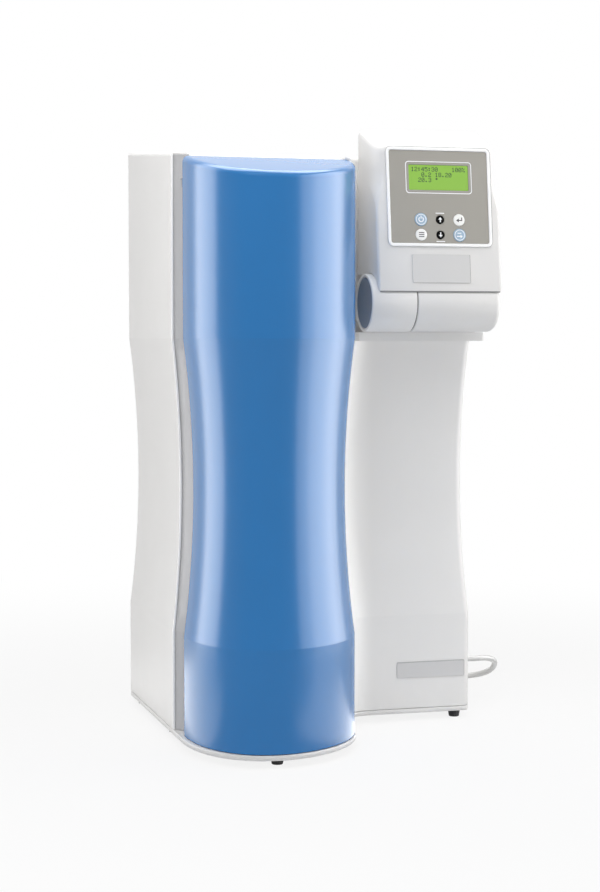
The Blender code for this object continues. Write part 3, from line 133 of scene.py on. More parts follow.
# Text of the display: row, column, letters. Each letter is seven rows of five dots
DISPLAY_COLUMNS = 16
DISPLAY_TEXT = ((0, 0, "12:45:30"), (0, 12, "100%"), (1, 3, "0.2 18.20"), (2, 2, "20.3 *"))
LETTERS = {
    "0": (14, 17, 19, 21, 25, 17, 14), "1": (4, 12, 4, 4, 4, 4, 14), "2": (14, 17, 1, 6, 8, 16, 31),
    "3": (14, 17, 1, 6, 1, 17, 14), "4": (2, 6, 10, 18, 31, 2, 2), "5": (31, 16, 30, 1, 1, 17, 14),
    "8": (14, 17, 17, 14, 17, 17, 14), ".": (0, 0, 0, 0, 0, 12, 12), ":": (0, 12, 12, 0, 12, 12, 0),
    "%": (24, 25, 2, 4, 8, 19, 3), "*": (14, 10, 14, 0, 0, 0, 0), " ": (),
}

# Rear fittings
SCREW_PLACES = [(x, z) for z in (0.035, 0.300, 0.570) for x in (-0.140, 0.138)]
VENT_X, VENT_TOP, VENT_WIDTH = 0.040, 0.520, 0.076
SOCKET_Z = 0.2885
INLET_PINS = ((-0.007, 0.000), (0.0, 0.004), (0.007, 0.000))

# Hose
HOSE_RADIUS = 0.003175
HOSE_PORTS = {"hose_port_high": (0.070, 0.0503), "hose_port_low": (0.120, 0.0220)}
HOSE_ROUTE = (
    (0.1846, 0.0700, 0.0503), (0.1960, 0.0700, 0.0503), (0.2100, 0.0715, 0.0500),
    (0.2210, 0.0780, 0.0465), (0.2275, 0.0885, 0.0400), (0.2280, 0.1000, 0.0320),
    (0.2225, 0.1110, 0.0260), (0.2120, 0.1180, 0.0228), (0.1980, 0.1200, 0.0220),
    (0.1846, 0.1200, 0.0220),
)

# Finishes of the solids that are shown as they are
CARRIED_OVER = {
    "casing": ("rear_panel",), "door": ("door_lug_bottom", "door_lug_top"),
    # The hinges take the strip's grey painted shade
    "strip": ("door_hinge_bottom", "door_hinge_top"),
    "steel": ("pump_motor", "power_supply", "pivot_shaft"),
    "grey": ("door_catch", "door_strike", "module_saddle", "pump_head", "water_manifold",
             "conductivity_cell"),
    "brass": ("inlet_valve", "flush_valve"), "dark": ("mains_inlet", "power_switch"),
    "board": ("control_board", "display_board"),
    "tube": ("osmosis_module_left", "osmosis_module_right"),
}

# Soft lamps. Those round the door: azimuth, distance, height, size, radiance, what they do
DOOR_AXIS = (-0.0912, -0.1324)
RING_LAMPS = (
    ("left_softbox", 172, 1.40, 0.40, (1.40, 1.10), 0.65, "light"),
    ("left_reflector", 147, 0.80, 0.60, (0.50, 1.20), 4.9, "gloss"),
    ("right_softbox", 340, 1.00, 0.65, (1.00, 1.30), 0.60, "light"),
    ("right_reflector", 353, 0.80, 0.60, (0.60, 1.20), 2.6, "gloss"),
    ("right_glow", 350, 0.82, 0.60, (1.15, 1.20), 3.6, "gloss"),
    ("rear_softbox", 80, 1.60, 0.70, (1.60, 1.40), 0.8, "light"),
)
# The others: place, what they point at, size, radiance, what they do
MIDDLE = (-0.09, -0.13, 0.45)
LAMPS = (
    ("top_softbox", (0.15, -0.30, 1.70), MIDDLE, (1.40, 1.20), 2.0, "light"),
    ("top_reflector", (-0.05, 0.25, 1.75), MIDDLE, (2.00, 1.10), 7.0, "gloss"),
    ("rear_reflector", (0.15, 0.90, 1.25), MIDDLE, (1.60, 1.20), 0.3, "gloss"),
    ("key_softbox", (-0.75, -1.15, 1.50), MIDDLE, (0.90, 0.90), 4.7, "light"),
    ("left_floor_glow", (-0.36, 0.14, 0.004), (-0.36, 0.14, 1.0), (0.34, 0.50), 1.6, "gloss"),
    ("right_floor_glow", (0.20, -0.18, 0.004), (0.20, -0.18, 1.0), (0.36, 0.33), 2.1, "gloss"),
)


# Shapes that the pieces share

def spread(start, end, steps):
    return [start + (end - start) * i / steps for i in range(steps + 1)]


def waist(z):
    """How far the walls draw in at this height."""
    half = (CREASE_HIGH - CREASE_LOW) / 2
    off = z - (CREASE_HIGH + CREASE_LOW) / 2
    if abs(off) >= half:
        return 0.0
    radius = (half * half + WAIST_DEPTH * WAIST_DEPTH) / (2 * WAIST_DEPTH)
    return math.sqrt(radius * radius - off * off) - (radius - WAIST_DEPTH)


def wall_levels(bottom):
    """Heights of a wall's rows, close together only where the waist curves."""
    return [bottom, bottom + 0.0005] + spread(CREASE_LOW, CREASE_HIGH, 32)


def casing_top(y):
    return TOP_REAR - (REAR - y) * math.tan(TOP_ANGLE)


def inner_top(y):
    return casing_top(y) - TOP_ROUND - CLEAR


def door_top(y):
    return DOOR_TOP_AT_EDGE - (DOOR_EDGE - y) * math.tan(DOOR_TOP_ANGLE)


def head_top(y):
    return HEAD_TOP - (HEAD_REAR - y) * math.tan(HEAD_TOP_ANGLE)


def below(surface, depth):
    return lambda y: surface(y) - depth


def arc(centre, radius, start, end, steps=8):
    return [(centre[0] + radius * math.cos(a), centre[1] + radius * math.sin(a))
            for a in spread(start, end, steps)]


def circle(radius, steps, centre=(0, 0)):
    return arc(centre, radius, 0.0, FULL, steps)[:-1]


def rounded(width, height, corner, steps=8, more=0.0):
    """Outline of a rectangle with round corners, larger by the last number."""
    x, y = (width + more) / 2 - corner, (height + more) / 2 - corner
    points = []
    for turn, centre in enumerate(((x, y), (-x, y), (-x, -y), (x, -y))):
        points += arc(centre, corner, turn * QUARTER, (turn + 1) * QUARTER, steps)
    return points


def bulge(inset, steps=40):
    """Plan of the bulge from its left side round the front to its right side."""
    def side(turn, reach, power):
        across = max(math.cos(turn), 0.0) ** (2 / power)
        ahead = math.sin(turn) ** (2 / power)
        return BULGE.x + reach * across, BULGE.y - (BULGE_DEPTH - inset) * ahead

    turns = spread(0.0, QUARTER, steps)
    left = [side(turn, inset - BULGE_LEFT, LEFT_POWER) for turn in turns]
    return left + [side(turn, BULGE_RIGHT - inset, RIGHT_POWER) for turn in reversed(turns[:-1])]


def tower_plan(inset=0.0):
    """Concave sweep, front corner and rear corner of the tower, on the outside or inset."""
    near, far = SEEN_CORNER, CORNER_RADIUS
    sweep = arc((JAMB + SWEEP_RADIUS, TOWER_FRONT - SWEEP_RADIUS), SWEEP_RADIUS + inset,
                math.pi, QUARTER, 24)
    front = arc((RIGHT - near, TOWER_FRONT + near), near - inset, -QUARTER, 0)
    return sweep, front, arc((RIGHT - far, REAR - far), far - inset, 0, QUARTER)


def rear_left(inset=0.0):
    r = SEEN_CORNER
    return arc((LEFT + r, REAR - r), r - inset, QUARTER, math.pi)


def drawn(points, across, along):
    """Points of a wall's path, with the shares of the waist that they take."""
    return [(x, y, across, along) for x, y in points]


def round_foot(radius, fillet, steps=4):
    """The first points of a turned profile, with its rim rounded."""
    return [(radius - fillet + fillet * math.sin(a), fillet - fillet * math.cos(a))
            for a in spread(0.0, QUARTER, steps)]


def round_edge(radius, height, fillet, steps=5):
    """The last points of a turned profile, with its rim rounded."""
    return [(radius - fillet + fillet * math.sin(a), height - fillet + fillet * math.cos(a))
            for a in spread(QUARTER, 0.0, steps)]


def rod(radius, length):
    return [(0, 0), (radius, 0), (radius, length), (0, length)]


def upright(place, turn=Matrix.Identity(4)):
    """A place on an upright face: across, up and out of it."""
    return Matrix.Translation(place) @ turn @ Matrix.Rotation(QUARTER, 4, "X")


def corners(node):
    return [Vector(corner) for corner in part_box(node)]


FACE_FOOT = Vector((0.1015, -0.082, HEAD_BOTTOM))
FACE = upright(FACE_FOOT, Matrix.Rotation(-HEAD_LEAN, 4, "X"))
AXIS_TURN = {
    "X": Matrix.Rotation(QUARTER, 4, "Y"),
    "Y": Matrix.Rotation(-QUARTER, 4, "X"),
    "Z": Matrix.Identity(4),
}


# Making and finishing meshes

FLAT, SOFT = 4.0, 30.0


def bare(name, data):
    obj = bpy.data.objects.new(name, data)
    bpy.context.scene.collection.objects.link(obj)
    return obj


def made(name, bm):
    mesh = bpy.data.meshes.new(name)
    bm.to_mesh(mesh)
    bm.free()
    return bare(name, mesh)


def settle(obj):
    """Applies the modifiers, and leaves a plain mesh."""
    bpy.context.view_layer.update()
    mesh = bpy.data.meshes.new_from_object(
        obj.evaluated_get(bpy.context.evaluated_depsgraph_get()))
    if obj.type == "MESH":
        obj.modifiers.clear()
        obj.data = mesh
        return obj
    name = obj.name
    bpy.data.objects.remove(obj)
    return bare(name, mesh)


def modified(obj, kind, **settings):
    """Adds one modifier and applies it."""
    modifier = obj.modifiers.new(kind, kind)
    for name, value in settings.items():
        setattr(modifier, name, value)
    return settle(obj)


def carve(obj, cutter, operation="DIFFERENCE"):
    """Cuts a helper solid out of a piece, or fuses it on, and removes the helper."""
    modified(obj, "BOOLEAN", operation=operation, object=cutter, solver="EXACT")
    bpy.data.objects.remove(cutter)


def soften(obj, width, segments=2, angle=40.0):
    return modified(obj, "BEVEL", width=width, segments=segments, limit_method="ANGLE",
                    angle_limit=math.radians(angle))


def dress(obj, look, body, *replaced, smooth=SOFT, creases=False):
    """Gives a finished piece its material, shading and body, and hides the model's nodes that it
    stands for.
    """
    mesh = obj.data
    if look:
        mesh.materials.clear()
        mesh.materials.append(finish(look))
    mesh.shade_smooth()
    mesh.set_sharp_from_angle(angle=math.radians(smooth))
    if creases:
        mark_creases(mesh)
    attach(obj, body)
    if replaced:
        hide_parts(*replaced)


def mark_creases(mesh):
    """Keeps the two creases of the waist crisp."""
    sharp = mesh.attributes.get("sharp_edge")
    sharp = sharp or mesh.attributes.new("sharp_edge", "BOOLEAN", "EDGE")
    for edge in mesh.edges:
        heights = [mesh.vertices[i].co.z for i in edge.vertices]
        for crease in (CREASE_LOW, CREASE_HIGH):
            if all(abs(z - crease) < 1e-5 for z in heights):
                sharp.data[edge.index].value = True


def block(name, low, high, edge=0.0, segments=2):
    low, high = Vector(low), Vector(high)
    bm = bmesh.new()
    bmesh.ops.create_cube(bm, size=1.0)
    bmesh.ops.scale(bm, vec=high - low, verts=bm.verts)
    bmesh.ops.translate(bm, vec=(low + high) / 2, verts=bm.verts)
    obj = made(name, bm)
    return soften(obj, edge, segments) if edge else obj


def stack(name, rings):
    """A closed solid through rings of points that run anticlockwise seen from above."""
    bm = bmesh.new()
    loops = [[bm.verts.new(p) for p in ring] for ring in rings]
    count = len(rings[0])
    for low, high in zip(loops, loops[1:]):
        for i in range(count):
            j = (i + 1) % count
            bm.faces.new((low[i], low[j], high[j], high[i]))
    bm.faces.new(reversed(loops[0]))
    bm.faces.new(loops[-1])
    return made(name, bm)


def prism(name, outline, *surfaces):
    """A closed solid on an outline, between two surfaces or heights."""
    return stack(name, [[(x, y, s(y) if callable(s) else s) for x, y in outline]
                        for s in surfaces])


def wall(name, path, top, thickness, round_over=0.0):
    """A waisted wall over a path, thickened inwards. Outside lies on the path's right.

    Each point of the path has its x, y and the shares of the waist by which they move.
    """
    rows = [[(x + ix * waist(z), y + iy * waist(z), z) for x, y, ix, iy in path]
            for z in wall_levels(SEAT)]
    plan = [Vector((x, y)) for x, y, _, _ in path]
    inwards = []
    for i in range(len(plan)):
        along = plan[min(i + 1, len(plan) - 1)] - plan[max(i - 1, 0)]
        inwards.append(Vector((-along.y, along.x)).normalized())
    for turn in spread(0.0, QUARTER, 8) if round_over else [0.0]:
        moved = [point + inward * round_over * (1 - math.cos(turn))
                 for point, inward in zip(plan, inwards)]
        rows.append([(p.x, p.y, top(p.y) - round_over * (1 - math.sin(turn))) for p in moved])
    if round_over:
        ends = [p + inward * (round_over + TOP_FLANGE) for p, inward in zip(plan, inwards)]
        rows.append([(end.x, end.y, top(end.y)) for end in ends])
    bm = bmesh.new()
    grid = [[bm.verts.new(p) for p in row] for row in rows]
    for low, high in zip(grid, grid[1:]):
        for i in range(len(low) - 1):
            bm.faces.new((low[i], low[i + 1], high[i + 1], high[i]))
    return modified(made(name, bm), "SOLIDIFY", thickness=thickness, offset=-1.0,
                    use_even_offset=True)


def turned(name, profile, start, axis="Z", steps=64, place=None, closed=False):
    """A turned solid from (radius, height) points up its outer side, or round a closed profile."""
    bm = bmesh.new()
    rings = []
    for radius, height in profile:
        angles = spread(0.0, FULL, steps)[:-1] if radius > 0 else [0.0]
        rings.append([bm.verts.new((radius * math.cos(a), radius * math.sin(a), height))
                      for a in angles])
    for low, high in zip(rings, rings[1:] + rings[:1] if closed else rings[1:]):
        for i in range(steps):
            j = (i + 1) % steps
            around = (low[i % len(low)], low[j % len(low)],
                      high[j % len(high)], high[i % len(high)])
            around = list(dict.fromkeys(around))
            if len(around) > 2:
                bm.faces.new(around)
    for ring in () if closed else (rings[0][::-1], rings[-1]):
        if len(ring) > 1:
            bm.faces.new(ring)
    bmesh.ops.recalc_face_normals(bm, faces=bm.faces)
    bm.transform(place or Matrix.Translation(start) @ AXIS_TURN[axis])
    return made(name, bm)


def plate(name, outlines, low, high, edge=0.0, across=0.0, rise=0.0, place=FACE):
    """A flat plate with holes, from outlines in its own plane, between two distances out."""
    curve = bpy.data.curves.new(name, "CURVE")
    curve.dimensions = "2D"
    curve.fill_mode = "BOTH"
    curve.extrude = (high - low) / 2 - edge
    curve.bevel_depth = edge
    curve.bevel_resolution = 2
    curve.offset = -edge
    for outline in outlines:
        spline = curve.splines.new("POLY")
        spline.points.add(len(outline) - 1)
        for point, (x, y) in zip(spline.points, outline):
            point.co = (x, y, 0, 1)
        spline.use_cyclic_u = True
    obj = settle(bare(name, curve))
    bm = bmesh.new()
    bm.from_mesh(obj.data)
    bmesh.ops.remove_doubles(bm, verts=bm.verts, dist=2e-6)
    bmesh.ops.recalc_face_normals(bm, faces=bm.faces)
    bm.transform(place @ Matrix.Translation((across, rise, (low + high) / 2)))
    bm.to_mesh(obj.data)
    bm.free()
    return obj


def flat(name, look, body, outlines, low, high, *replaced, **where):
    """A dressed plate."""
    dress(plate(name, outlines, low, high, **where), look, body, *replaced, smooth=FLAT)


def merged(name, objects):
    """Joins finished meshes into one, with a material slot for each."""
    bm = bmesh.new()
    mesh = bpy.data.meshes.new(name)
    for index, (obj, look) in enumerate(objects):
        start = len(bm.faces)
        bm.from_mesh(obj.data)
        bm.faces.ensure_lookup_table()
        for face in bm.faces[start:]:
            face.material_index = index
        mesh.materials.append(finish(look))
        bpy.data.objects.remove(obj)
    bm.to_mesh(mesh)
    bm.free()
    return bare(name, mesh)


# Nodes

class Wire:
    """A socket in a node tree that Python's arithmetic extends with Math nodes."""

    def __init__(self, graph, socket):
        self.graph = graph
        self.socket = socket

    def math(self, operation, *others):
        inputs = dict(enumerate((self,) + others))
        return self.graph.wire("ShaderNodeMath", inputs, operation=operation)

    def __add__(self, other):
        return self.math("ADD", other)

    def __rsub__(self, other):
        return self.math("MULTIPLY", -1.0).math("ADD", other)

    def __mul__(self, other):
        return self.math("MULTIPLY", other)

    def __truediv__(self, other):
        return self.math("DIVIDE", other)

    def between(self, low, high):
        """0 below low, 1 above high, smooth in between."""
        inputs = {"Value": self, "From Min": low, "From Max": high}
        return self.graph.wire("ShaderNodeMapRange", inputs, interpolation_type="SMOOTHSTEP")


class Graph:
    """Adds nodes to a material's, a world's or a modifier's tree."""

    def __init__(self, tree):
        self.tree = tree

    def add(self, kind, sockets=None, **settings):
        node = self.tree.nodes.new(kind)
        for name, value in settings.items():
            setattr(node, name, value)
        for key, value in (sockets or {}).items():
            if isinstance(value, Wire):
                self.tree.links.new(value.socket, node.inputs[key])
            else:
                node.inputs[key].default_value = value
        return node

    def wire(self, kind, sockets=None, output=0, **settings):
        return Wire(self, self.add(kind, sockets, **settings).outputs[output])

    def place(self):
        return self.wire("ShaderNodeTexCoord", output="Object")

    def noise(self, place, scale, detail=2.0):
        return self.wire("ShaderNodeTexNoise", {"Vector": place, "Scale": scale, "Detail": detail})

    def along(self, place, axis):
        return self.wire("ShaderNodeSeparateXYZ", {"Vector": place}, axis)

    def mix(self, share, low, high):
        """Colours blended by a share."""
        low, high = (c if isinstance(c, Wire) else (*c, 1.0) for c in (low, high))
        return self.wire("ShaderNodeMix", {0: share, 6: low, 7: high}, 2, data_type="RGBA")

    def shaders(self, share, low, high):
        return self.wire("ShaderNodeMixShader", {0: share, 1: low, 2: high})

    def vector(self, **parts):
        return self.wire("ShaderNodeCombineXYZ", parts)

    def cube(self, **size):
        return self.wire("GeometryNodeMeshCube", {"Size": self.vector(**size)}, "Mesh")

    def moved(self, geometry, **how):
        return self.wire("GeometryNodeTransform", {"Geometry": geometry, **how})

    def joined(self, operation, parts, **first):
        """Meshes fused together, or cut out of a first one."""
        node = self.add("GeometryNodeMeshBoolean", {"Mesh 1": mesh for mesh in first.values()},
                        operation=operation, solver="EXACT")
        for part in parts:
            self.tree.links.new(part.socket, node.inputs["Mesh 2"])
        return Wire(self, node.outputs[0])


def cleared(data):
    """The emptied node tree of a new material or world."""
    data.use_nodes = True
    data.node_tree.nodes.clear()
    return Graph(data.node_tree)


def tinted(colour, factor):
    return tuple(min(1.0, channel * factor) for channel in colour)


def moulded(name, colour, roughness, grain=0.02, specks=0.05, coat=0.0, scale=900.0,
            metallic=0.0, ior=1.5, glow=0.0, dusty=0.0, paler=None):
    """A moulded or painted finish: faint uneven colour, fine grain and light wear in its gloss; it
    may be darker near the bottom in noisy patches, paler at low x as painted light, and glow: the
    display's backlight, painted light on other parts.
    """
    material = bpy.data.materials.new(name)
    graph = cleared(material)
    place = graph.place()
    shade = graph.mix(graph.noise(place, 14.0, 3.0), tinted(colour, 0.97), tinted(colour, 1.03))
    # Painted light: the colour turns paler towards low x, standing in for light on the tower's
    # sweep beside the door
    if paler:
        shade = graph.mix(1 - graph.along(place, "X").between(*paler), shade, tinted(colour, 1.2))
    # Darker near the bottom, in noisy patches
    if dusty:
        low = 1 - graph.along(place, "Z").between(0.008, 0.075)
        shade = graph.mix(low * graph.noise(place, 60.0, 4.0) * dusty, shade, (0.42, 0.41, 0.39))
    tall = graph.wire("ShaderNodeMapping", {"Vector": place, "Scale": (1, 1, 6)})
    gloss = graph.noise(tall, 40.0, 3.0) * specks + (roughness - specks / 2)
    bump = graph.wire("ShaderNodeBump", {
        "Height": graph.noise(place, scale), "Strength": grain, "Distance": 0.0002})
    shader = graph.wire("ShaderNodeBsdfPrincipled", {
        "Base Color": shade, "Roughness": gloss, "Normal": bump, "Metallic": metallic, "IOR": ior,
        "Coat Weight": coat, "Coat Roughness": 0.06,
        "Emission Color": (*colour, 1.0), "Emission Strength": glow})
    graph.add("ShaderNodeOutputMaterial", {"Surface": shader})
    return material


# Geometry Nodes

def node_group(name, numbers):
    """A geometry tree with named number inputs: its graph, its points and those inputs."""
    tree = bpy.data.node_groups.new(name, "GeometryNodeTree")
    for way in ("INPUT", "OUTPUT"):
        tree.interface.new_socket("Geometry", in_out=way, socket_type="NodeSocketGeometry")
    for label, value in numbers.items():
        kind = "NodeSocketInt" if isinstance(value, int) else "NodeSocketFloat"
        tree.interface.new_socket(label, in_out="INPUT", socket_type=kind).default_value = value
    graph = Graph(tree)
    given = graph.add("NodeGroupInput").outputs
    return graph, Wire(graph, given["Geometry"]), [Wire(graph, given[label]) for label in numbers]


def close_group(graph, points, instance, look):
    """Ends a tree: an instance on each point, made real, with its material."""
    placed = graph.wire("GeometryNodeInstanceOnPoints", {"Points": points, "Instance": instance})
    real = graph.wire("GeometryNodeRealizeInstances", {"Geometry": placed})
    done = graph.wire("GeometryNodeSetMaterial", {"Geometry": real, "Material": finish(look)})
    graph.add("NodeGroupOutput", {"Geometry": done})
    return graph.tree


def grown(name, places, tree, values):
    """Runs a geometry tree over a mesh of points, and leaves a plain mesh."""
    mesh = bpy.data.meshes.new(name)
    mesh.from_pydata([tuple(p) for p in places], [], [])
    obj = bare(name, mesh)
    modifier = obj.modifiers.new("Build", "NODES")
    modifier.node_group = tree
    for item in tree.interface.items_tree:
        if item.in_out == "INPUT" and item.name in values:
            modifier[item.identifier] = values[item.name]
    settle(obj)
    bpy.data.node_groups.remove(tree)
    return obj


def screws_tree(look):
    """Pan-head screws with a cross recess, one on each point, with their heads along Y."""
    graph, points, (radius, height, recess) = node_group("Screws", {
        "Head Radius": 0.0032, "Head Height": 0.0016, "Recess Width": 0.0008})
    head = graph.wire("GeometryNodeMeshCylinder", {
        "Vertices": 24, "Radius": radius, "Depth": height}, "Mesh")
    dome = graph.wire("GeometryNodeMeshCone", {
        "Vertices": 24, "Radius Top": radius * 0.62, "Radius Bottom": radius * 0.98,
        "Depth": height * 0.4}, "Mesh")
    dome = graph.moved(dome, Translation=graph.vector(Z=height * 0.5))
    arms = []
    for x, y in ((radius * 1.1, recess), (recess, radius * 1.1)):
        arm = graph.cube(X=x, Y=y, Z=height * 1.2)
        arms.append(graph.moved(arm, Translation=graph.vector(Z=height)))
    cross = graph.joined("DIFFERENCE", arms, first=graph.joined("UNION", (head, dome)))
    return close_group(graph, points, graph.moved(cross, Rotation=(-QUARTER, 0.0, 0.0)), look)


def slats_tree(look):
    """Sloping louvre slats in a column, hung from each point."""
    graph, points, (width, depth, thickness, pitch, count) = node_group("Louvres", {
        "Slat Width": 0.060, "Slat Depth": 0.0045, "Slat Thickness": 0.0012,
        "Slat Pitch": 0.0055, "Slat Count": 12})
    column = graph.wire("GeometryNodeMeshLine", {
        "Count": count, "Offset": graph.vector(Z=pitch * -1.0)})
    slat = graph.moved(graph.cube(X=width, Y=thickness, Z=depth), Rotation=(-0.55, 0.0, 0.0))
    slats = graph.wire("GeometryNodeInstanceOnPoints", {"Points": column, "Instance": slat})
    return close_group(graph, points, slats, look)


def dots_tree(look):
    """Flat display dots, one on each point."""
    graph, points, (width, height, thickness) = node_group("Display Dots", {
        "Dot Width": 0.00042, "Dot Height": 0.0005, "Dot Thickness": 0.00008})
    return close_group(graph, points, graph.cube(X=width, Y=height, Z=thickness), look)


def ribs_tree(look):
    """Upright grip ribs round a ring about the Z axis, each facing outwards."""
    graph, points, (radius, width, proud, height, count) = node_group("Grip Ribs", {
        "Ring Radius": 0.050, "Rib Width": 0.0016, "Rib Proud": 0.0012, "Rib Height": 0.016,
        "Rib Count": 48})
    ring = graph.wire("GeometryNodeMeshCircle", {"Vertices": count, "Radius": radius})
    turn = graph.vector(Z=graph.wire("GeometryNodeInputIndex") * FULL / count)
    rib = graph.cube(X=proud * 2.0, Y=width, Z=height)
    ribs = graph.wire("GeometryNodeInstanceOnPoints", {
        "Points": ring, "Instance": rib, "Rotation": turn})
    return close_group(graph, points, ribs, look)


# Sizes and colours that a user may change

def length(name, description, value):
    return FloatProperty(name=name, description=description, default=value, min=0.0,
                         subtype="DISTANCE", unit="LENGTH", precision=5)


def count(name, description, value, least, most):
    return IntProperty(name=name, description=description, default=value, min=least, max=most)


def colour(name, description, value):
    return FloatVectorProperty(name=name, description=description, default=value, size=3,
                               min=0.0, max=1.0, subtype="COLOR")


class WaterUnitSizes(bpy.types.PropertyGroup):
    edge_round: length("Edge rounding", "Radius on the casing's moulded edges", 0.0008)
    door_round: length("Door top rounding", "Radius round the top of the door", 0.006)
    door_wall: length("Door wall", "Thickness of the door's wall", 0.003)
    barrel_edge: length("Barrel edge", "Rounding at the seam between the barrels", 0.0009)
    key_dome: length("Key dome", "How far a key's face rises at its middle", 0.0002)
    dot_pitch: length("Dot pitch", "Distance between the display's dots", 0.00060)
    screw_radius: length("Screw head radius", "Radius of the rear screws' heads", 0.0032)
    louvre_pitch: length("Louvre pitch", "Distance between the rear vent's slats", 0.0055)
    louvre_count: count("Louvres", "Slats in the rear vent", 12, 1, 40)
    rib_count: count("Grip ribs", "Ribs round the cartridge's collar", 48, 8, 120)


class WaterUnitColours(bpy.types.PropertyGroup):
    casing: colour("Casing", "Moulded casing", (0.778, 0.769, 0.757))
    door: colour("Door", "Glossy moulded door", (0.007, 0.172, 0.475))
    membrane: colour("Membrane", "Printed keypad membrane", (0.335, 0.32, 0.285))
    bezel: colour("Bezel", "Frame round the keypad", (0.91, 0.91, 0.91))
    display: colour("Display", "Lit display", (0.226, 0.446, 0.05))
    display_ink: colour("Display dots", "Dark dots of the display", (0.008, 0.045, 0.010))
    key_blue: colour("Blue keys", "Power and flush keys", (0.33, 0.455, 0.585))
    key_white: colour("White keys", "Menu and enter keys", (0.90, 0.90, 0.88))
    end_disc: colour("End disc", "Disc in the end of the barrel", (0.095, 0.165, 0.28))
    grey: colour("Grey fittings", "Ports, saddles and brackets", (0.33, 0.33, 0.32))
    hose: colour("Hose", "Link hose", (0.74, 0.74, 0.73))
    rubber: colour("Rubber", "Feet and grommets", (0.025, 0.025, 0.027))


def look(*plain, **special):
    return plain, special


# Name, colour or the property that holds it, roughness, grain, specks, and what is special
FINISHES = {
    "casing": look("Casing White", "casing", 0.50, 0.05, 0.06, dusty=0.12),
    # The tower's finish holds painted light: it is paler on its sweep beside the door
    "tower": look("Tower White", "casing", 0.50, 0.05, 0.06, dusty=0.12, paler=(0.030, 0.060)),
    # Grey as painted shade: the casing's strip beside the door, deep in the door's shade
    "strip": look("Edge Strip Grey", (0.42, 0.42, 0.43), 0.5, 0.05, 0.06),
    "door": look("Door Blue", "door", 0.24, 0.012, 0.03),
    "membrane": look("Keypad Membrane", "membrane", 0.5, 0.12, scale=1600.0),
    # Painted light: the bezel, the keys and the white ink glow though they are not lit; the
    # display's glow is its backlight
    "bezel": look("Keypad Bezel", "bezel", 0.35, 0.03, 0.04, glow=0.12),
    "display": look("Display Green", "display", 0.2, 0.0, 0.02, coat=0.3, glow=0.25),
    "display_ink": look("Display Ink", "display_ink", 0.4),
    "key_blue": look("Key Blue", "key_blue", 0.35, 0.03, glow=0.08),
    "key_white": look("Key White", "key_white", 0.35, 0.03, glow=0.08),
    "key_black": look("Key Black", (0.002, 0.002, 0.002), 0.8, 0.03, ior=1.15),
    "ink": look("Printed Ink", (0.06, 0.06, 0.065), 0.5),
    "white_ink": look("White Ink", (0.86, 0.87, 0.88), 0.5, glow=0.1),
    "end_disc": look("End Disc", "end_disc", 0.3, coat=0.5),
    # Seam grey fills the barrels' joint and paints shadow lines under the head and beside its
    # plate; line grey paints shadow lines
    "seam": look("Seam Grey", (0.22, 0.22, 0.22), 0.6),
    "line": look("Line Grey", (0.42, 0.42, 0.42), 0.6),
    "grey": look("Grey Plastic", "grey", 0.5, 0.08),
    "dark": look("Dark Plastic", (0.02, 0.02, 0.021), 0.45, 0.08),
    "rubber": look("Rubber", "rubber", 0.75, 0.15, scale=500.0),
    "steel": look("Brushed Steel", (0.58, 0.58, 0.57), 0.32, 0.05, metallic=1.0),
    "brass": look("Brass", (0.62, 0.42, 0.15), 0.32, 0.04, metallic=1.0),
    "hose": look("Hose White", "hose", 0.38, coat=0.3),
    "plate": look("Bare Plate", (0.60, 0.595, 0.595), 0.4, 0.04),
    "head_plate": look("Head Plate", (0.66, 0.655, 0.65), 0.42, 0.04),
    "board": look("Circuit Board", (0.02, 0.16, 0.06), 0.4, 0.1),
    "cartridge": look("Cartridge", (0.56, 0.66, 0.74), 0.3, coat=0.4),
    "tube": look("Membrane Tube", (0.80, 0.80, 0.79), 0.3, coat=0.2),
}
MADE = {}


def finish(key):
    """A shared material, made when a piece first asks for it."""
    if key not in MADE:
        (name, shade, *numbers), special = FINISHES[key]
        if isinstance(shade, str):
            shade = getattr(bpy.context.scene.water_unit_colours, shade)
        MADE[key] = moulded(name, shade, *numbers, **special)
    return MADE[key]


